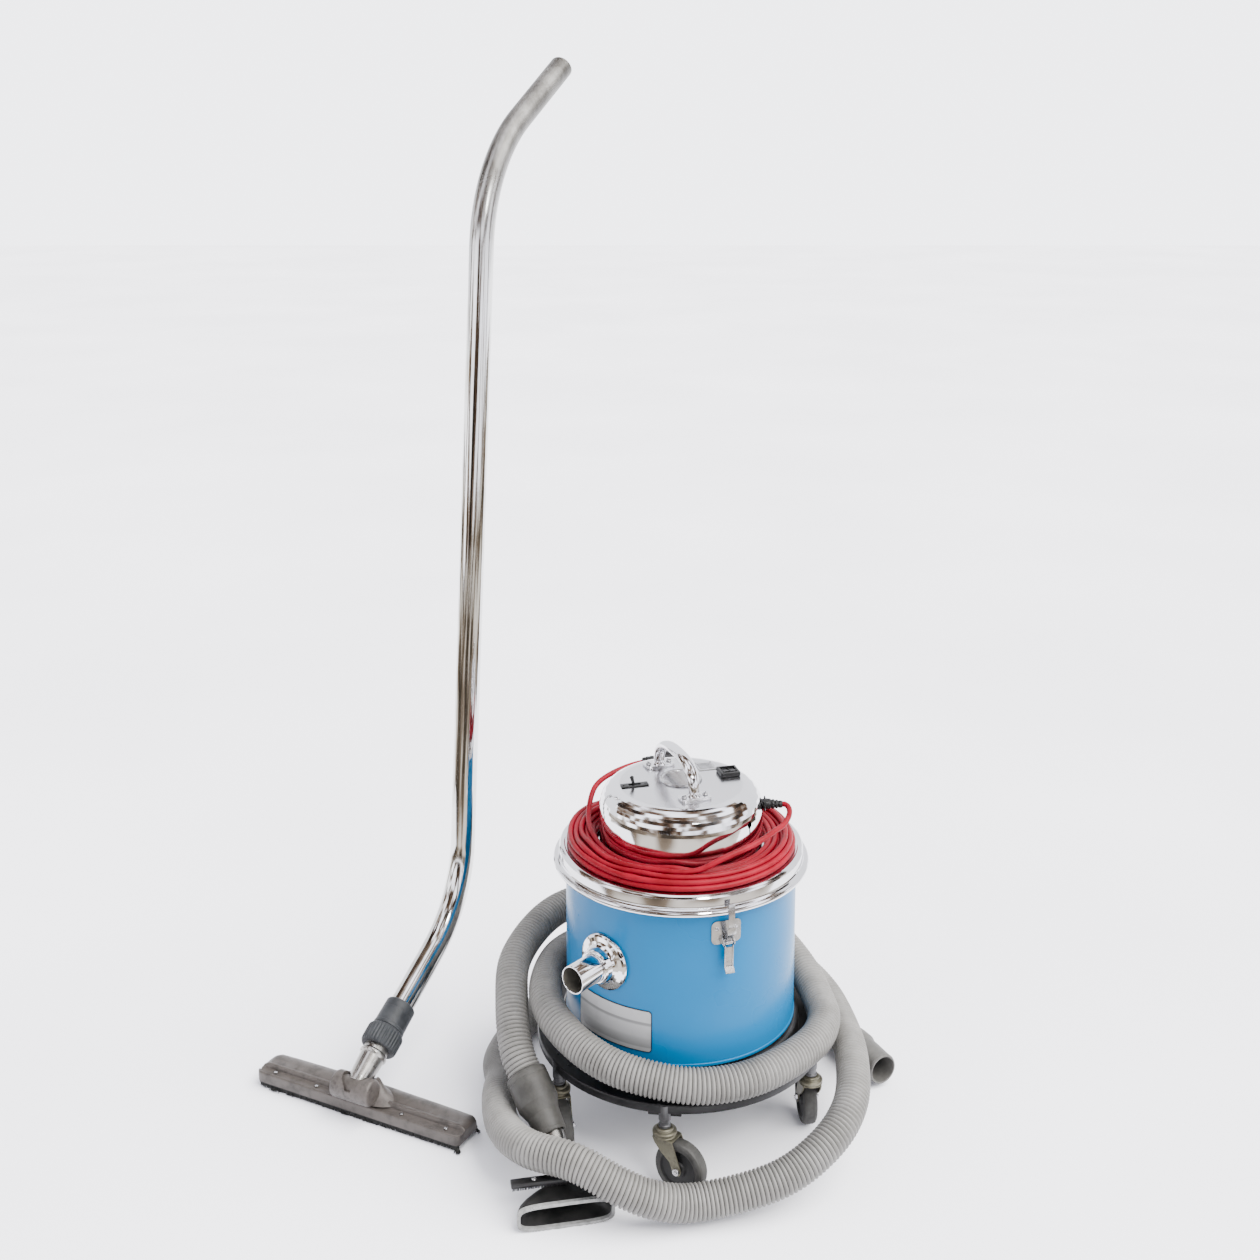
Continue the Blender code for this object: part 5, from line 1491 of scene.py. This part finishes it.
def wand_look():
    """Polished tube that turns rougher towards its handled end, where its colour is painted darker: painted
    reflection.
    """
    look = Look("wand_chrome", Metallic=1.0)
    split = look.node("ShaderNodeSeparateXYZ", Vector=look.coords)
    # Height mask: from Z 1.18 to 1.42 it blends the colour into the darker ramp below, a painted dark
    # reflection, and raises the roughness there.
    wear_and_painted_reflection = look.range(split.outputs["Z"], 0.0, 1.0, 1.18, 1.42)
    smear = look.noise(24.0, 7.0, 0.65, (1.0, 1.0, 0.4))
    plain_tone = look.ramp(
        smear, [(0.30, (0.50, 0.49, 0.46)), (0.52, (0.68, 0.68, 0.67)), (0.8, (0.74, 0.74, 0.75))]
    )
    # Darker tone for the top of the tube: painted reflection.
    painted_reflection_tone = look.ramp(smear, [(0.35, (0.12, 0.115, 0.105)), (0.65, (0.26, 0.255, 0.24))])
    look.set("Base Color", look.mix(wear_and_painted_reflection, plain_tone, painted_reflection_tone))
    rough = look.node("ShaderNodeMath", Value=wear_and_painted_reflection)
    rough.operation = "MULTIPLY_ADD"
    rough.inputs[1].default_value = 0.32
    look.tree.links.new(look.range(smear, 0.05, 0.13, 0.35, 0.7), rough.inputs[2])
    look.set("Roughness", rough.outputs["Value"])
    return look.bump(look.noise(260.0, 3.0), 0.03, 0.0003).mat


def wand():
    corners = (neck_point(0.0955), (0.2890, 0.2050), (0.3926, 1.3585), (0.6350, 1.5070))
    route = bent_route(corners, (0.180, 0.250), 28)
    points = [on_plane(p.x, p.y) for p in route]
    origin = points[0].copy()
    origin.z = 0.0
    path = [p - origin for p in points]
    outer, _ = tube(path, TUBE_R, 72, caps=False)
    inner, _ = tube(path, 0.0176, 72, caps=False)
    for face in inner.faces:
        face.material_index = 1
    bm = merge(outer, inner)
    for which in (0, -1):
        near = [e for e in bm.edges if e.is_boundary
                and (e.verts[0].co - path[which]).length < 0.03]
        bmesh.ops.bridge_loops(bm, edges=near)
    return piece("wand", bm, [wand_look(), INSIDE], "wand", "wand_tube", "chrome", origin)


def wand_collar():
    inner = TUBE_R + GAP
    profile = [
        (inner, 0.0420), (0.0205, 0.0425), (0.0222, 0.0420), (0.0233, 0.0402), (0.0236, 0.0300),
        (0.0233, 0.0292), (0.0236, 0.0284), (0.0240, 0.0060), (0.0246, 0.0050), (0.0246, 0.0012),
        (0.0238, 0.0), (inner, 0.0),
    ]
    origin = on_plane(*neck_point(0.0945))
    bm = lathe(profile, 96, closed=True, fillet=0.0008)
    piece("wand_grip_collar", bm, COLLAR, "neck", "wand_collar", "cuff_vinyl", origin, along(neck_axis()))

    count = 264
    rows = (
        (inner, 0.0300, 0.0), (0.0246, 0.0300, 0.0), (0.0258, 0.0292, 0.0), (0.0264, 0.0280, 0.4),
        (0.0280, 0.0262, 1.0), (0.0284, 0.0240, 1.0), (0.0284, 0.0060, 1.0), (0.0278, 0.0030, 1.0),
        (0.0266, 0.0012, 0.3), (0.0258, 0.0, 0.0), (inner, 0.0, 0.0),
    )
    rings = []
    for radius, z, rib in rows:
        ring = []
        for k in range(count):
            a = 2 * math.pi * k / count
            wave = max(-0.6, min(0.6, math.sin(33 * a) * 1.4)) / 0.6
            r = radius - 0.0006 * rib + 0.0006 * rib * wave
            ring.append(Vector((r * math.cos(a), r * math.sin(a), z)))
        rings.append(ring)
    nut = loft(rings + [rings[0]])
    piece("ribbed_nut", nut, COLLAR, "nut", "collar_nut", "black_plastic",
          on_plane(*neck_point(0.0642)), along(neck_axis()), 60.0)


def floor_neck():
    slope = math.radians(90.0 - NECK_SLOPE)
    lay = Matrix.Rotation(-slope, 4, "X")
    spigot = [
        (0.0136, 0.0950), (0.0182, 0.0950), (0.0190, 0.0940), (0.0190, 0.0570), (0.0200, 0.0562),
        (0.0213, 0.0545), (0.0215, 0.0530), (0.0213, 0.0515), (0.0202, 0.0500), (0.0191, 0.0488),
        (0.0186, 0.0400), (0.0176, 0.0260), (0.0166, 0.0140), (0.0150, 0.0060), (0.0136, 0.0060),
    ]
    neck = moved(lathe(spigot, 96, closed=True, fillet=0.0008), lay)
    place = on_plane(0, NECK_Z), TOOL_TURN
    obj = piece("swivel_neck", neck, CHROME_WORN, "neck", "floor_neck", "chrome", *place)
    barrel = rod(0.0150, 0.052, 72, (0, 0, 0), "X", 0.0010)
    other = piece("swivel_barrel", barrel, CAST, "neck", None, "cast_aluminium", *place)
    bore = moved(rod(0.0136, 0.08, 48, (0, 0, 0.043)), lay)
    cut(other, cutting_piece(bore, *place))
    return obj


def floor_body():
    """The cast head: low wings that rise to the middle, a raised back rib and a turned-down front edge."""
    length = 0.356
    count = 72
    rings = []
    for i in range(count + 1):
        x = -length / 2 + length * i / count
        t = abs(x) / (length / 2)
        end = max(0.0, (t - 0.955) / 0.045)
        pinch = 0.0050 * end ** 2
        rise = 0.0045 * (1 - t) ** 1.5
        back = 0.0545 - 0.0040 * t * t
        bottom = 0.0100
        bead = 0.0050 * (1.0 - end)
        section = [
            (-0.0030 + pinch, bottom), (-0.0030 + pinch, 0.0226), (-0.0026 + pinch, 0.0247),
            (-0.0012 + pinch, 0.0258), (0.0006 + pinch, 0.0256), (0.0020 + pinch, 0.0242),
            (0.0034 + pinch, 0.0230 + 0.4 * end * bead), (0.0108, 0.0236 + 0.0016 * end),
            (0.0126, 0.0250), (0.0138, 0.0250 + bead), (0.0152, 0.0262 + bead), (0.0170, 0.0262 + bead),
            (0.0186, 0.0256 + bead), (0.0200, 0.0248 + bead), (0.0300, 0.0256 + bead + rise),
            (0.0400, 0.0248 + bead + rise), (back - 0.0055, 0.0226 + bead + 0.5 * rise),
            (back - 0.0015 - pinch, 0.0205 + bead), (back - pinch, 0.0190 + 0.5 * bead),
            (back - pinch, bottom),
        ]
        rings.append([Vector((x, y, z)) for y, z in section])
    outer = loft(rings, closed_ends=True)
    obj = piece("floor_head", outer, [CAST, CAST_EDGE], "floor_tool", "floor_body", "cast_aluminium",
                TOOL, TOOL_TURN, 50.0)
    mod = obj.modifiers.new("soften", "BEVEL")
    mod.width = 0.0010
    mod.segments = 3
    mod.limit_method = "ANGLE"
    mod.angle_limit = math.radians(40)
    hollow = cutting_piece(box((length - 0.016, 0.038, 0.0140), (0, 0.0255, 0.0140), 0.001), TOOL, TOOL_TURN)
    throat = cutting_piece(box((0.034, 0.026, 0.034), (0, 0.0200, 0.0250)), TOOL, TOOL_TURN)
    cut(obj, hollow, throat)

    cup = rod(0.0190, 0.066, 72, (0, 0, 0), "X", 0.0055)
    swell = lathe([
        (0.0, 0.0270), (0.0290, 0.0250), (0.0330, 0.0190), (0.0400, 0.0110), (0.0520, 0.0040),
        (0.0600, 0.0), (0.0, 0.0),
    ], 96)
    bmesh.ops.scale(swell, vec=(1.0, 0.42, 1.0), verts=swell.verts)
    lump = piece("floor_head_boss", shift(cup, (0, 0, 0)), CAST_ROUGH, "floor_tool", None, "cast_aluminium",
                 on_plane(0, NECK_Z), TOOL_TURN)
    skirt = cutting_piece(swell, on_plane(0.0235, 0.0265), TOOL_TURN)
    join = lump.modifiers.new("join", "BOOLEAN")
    join.operation = "UNION"
    join.object = skirt
    cutters = [cutting_piece(rod(0.0154, 0.0535, 60, (0, 0, 0), "X"), on_plane(0, NECK_Z), TOOL_TURN)]
    for tilt in (-5.0, 4.0, 13.0, 22.0, 31.0, 40.0, 47.0):
        lean = Matrix.Rotation(math.radians(NECK_SLOPE + tilt - 90.0), 4, "X")
        sweep = moved(rod(0.0196, 0.070, 48, (0, 0, 0.0345)), lean)
        cutters.append(cutting_piece(sweep, on_plane(0, NECK_Z), TOOL_TURN))
    cut(lump, *cutters)
    bpy.data.objects.remove(skirt, do_unlink=True)
    blocks = []
    for x in (-0.150, -0.075, 0.075, 0.150):
        screw = lathe([(0, 0.0009), (0.0022, 0.0008), (0.0030, 0.0), (0, 0)], 20)
        blocks.append(shift(screw, (x, 0.0085, 0.0249)))
    piece("floor_head_screws", merge(*blocks), [STEEL, STEEL], "floor_tool", None, "cast_aluminium",
          TOOL, TOOL_TURN)


def bristles():
    """Two rows of brush: a backing strip and many short tufts that splay and wear unevenly."""
    strips = (("brush_strip_front", "bristles_front", 0.0022), ("brush_strip_back", "bristles_rear", 0.0498))
    for name, node, y0 in strips:
        parts = [box((0.350, 0.0050, 0.0030), (0, y0, 0.0085), 0.0006)]
        bm = bmesh.new()
        for i in range(300):
            x = -0.1730 + 0.346 * i / 299
            for j in range(3):
                px = x + random.uniform(-0.0006, 0.0006)
                py = y0 + (j - 1) * 0.0016 + random.uniform(-0.0004, 0.0004)
                lean = (j - 1) * 0.0010 + random.uniform(-0.0009, 0.0009)
                tip = random.uniform(0.0004, 0.0016) + 0.0012 * math.sin(9.0 * x) ** 2
                top = [bm.verts.new((px + dx, py + dy, 0.0078)) for dx, dy in
                       ((-0.0006, -0.0005), (0.0006, -0.0005), (0.0006, 0.0005), (-0.0006, 0.0005))]
                bend = random.uniform(-0.0008, 0.0008)
                low = [bm.verts.new((px + bend + dx, py + lean + dy, tip)) for dx, dy in
                       ((-0.0005, -0.0004), (0.0005, -0.0004), (0.0005, 0.0004), (-0.0005, 0.0004))]
                bm.faces.new(top)
                bm.faces.new(list(reversed(low)))
                for k in range(4):
                    m = (k + 1) % 4
                    bm.faces.new((top[k], low[k], low[m], top[m]))
        clumps = [(-0.146, 0.010), (-0.118, 0.006), (-0.020, 0.008), (0.022, 0.007), (0.176, 0.012)]
        for middle, reach in clumps:
            for k in range(46):
                px = middle + random.gauss(0.0, 0.0040)
                px = min(px, 0.1752)
                out_y = -random.uniform(0.2, 0.75) * reach if y0 < 0.02 else random.uniform(-0.002, 0.002)
                out_x = random.uniform(0.0, 0.5) * reach if middle > 0.17 else random.uniform(-0.002, 0.002)
                hair, _ = tube([
                    (px, y0, 0.0080), (px + 0.4 * out_x, y0 + 0.5 * out_y, 0.0050),
                    (px + out_x, y0 + out_y, random.uniform(0.0008, 0.0040)),
                ], random.uniform(0.00035, 0.0006), 5)
                parts.append(hair)
        parts.append(bm)
        piece(name, merge(*parts), BRISTLE, "floor_tool", node, "bristle", TOOL, TOOL_TURN)


# ------------------------------------------------------------------ the whole

def build():
    set_camera()
    studio()
    floor()
    hose_piece, hose_path, hose_length = hose()
    hose_cuffs()
    neck = hand_tool_neck()
    tool = hand_tool()
    cord_piece, cord_path, cord_length = power_cord()
    plug = mains_plug()
    strain_relief()
    dolly_tray()
    casters()
    drum()
    inlet()
    nameplate()
    latch(1, -70.0)
    latch(2, 110.0)
    lid()
    dome()
    vent()
    toggle()
    rockers()
    rating_plate()
    handle()
    powerhead_inside()
    wand()
    wand_collar()
    floor_neck()
    floor_body()
    bristles()


build()
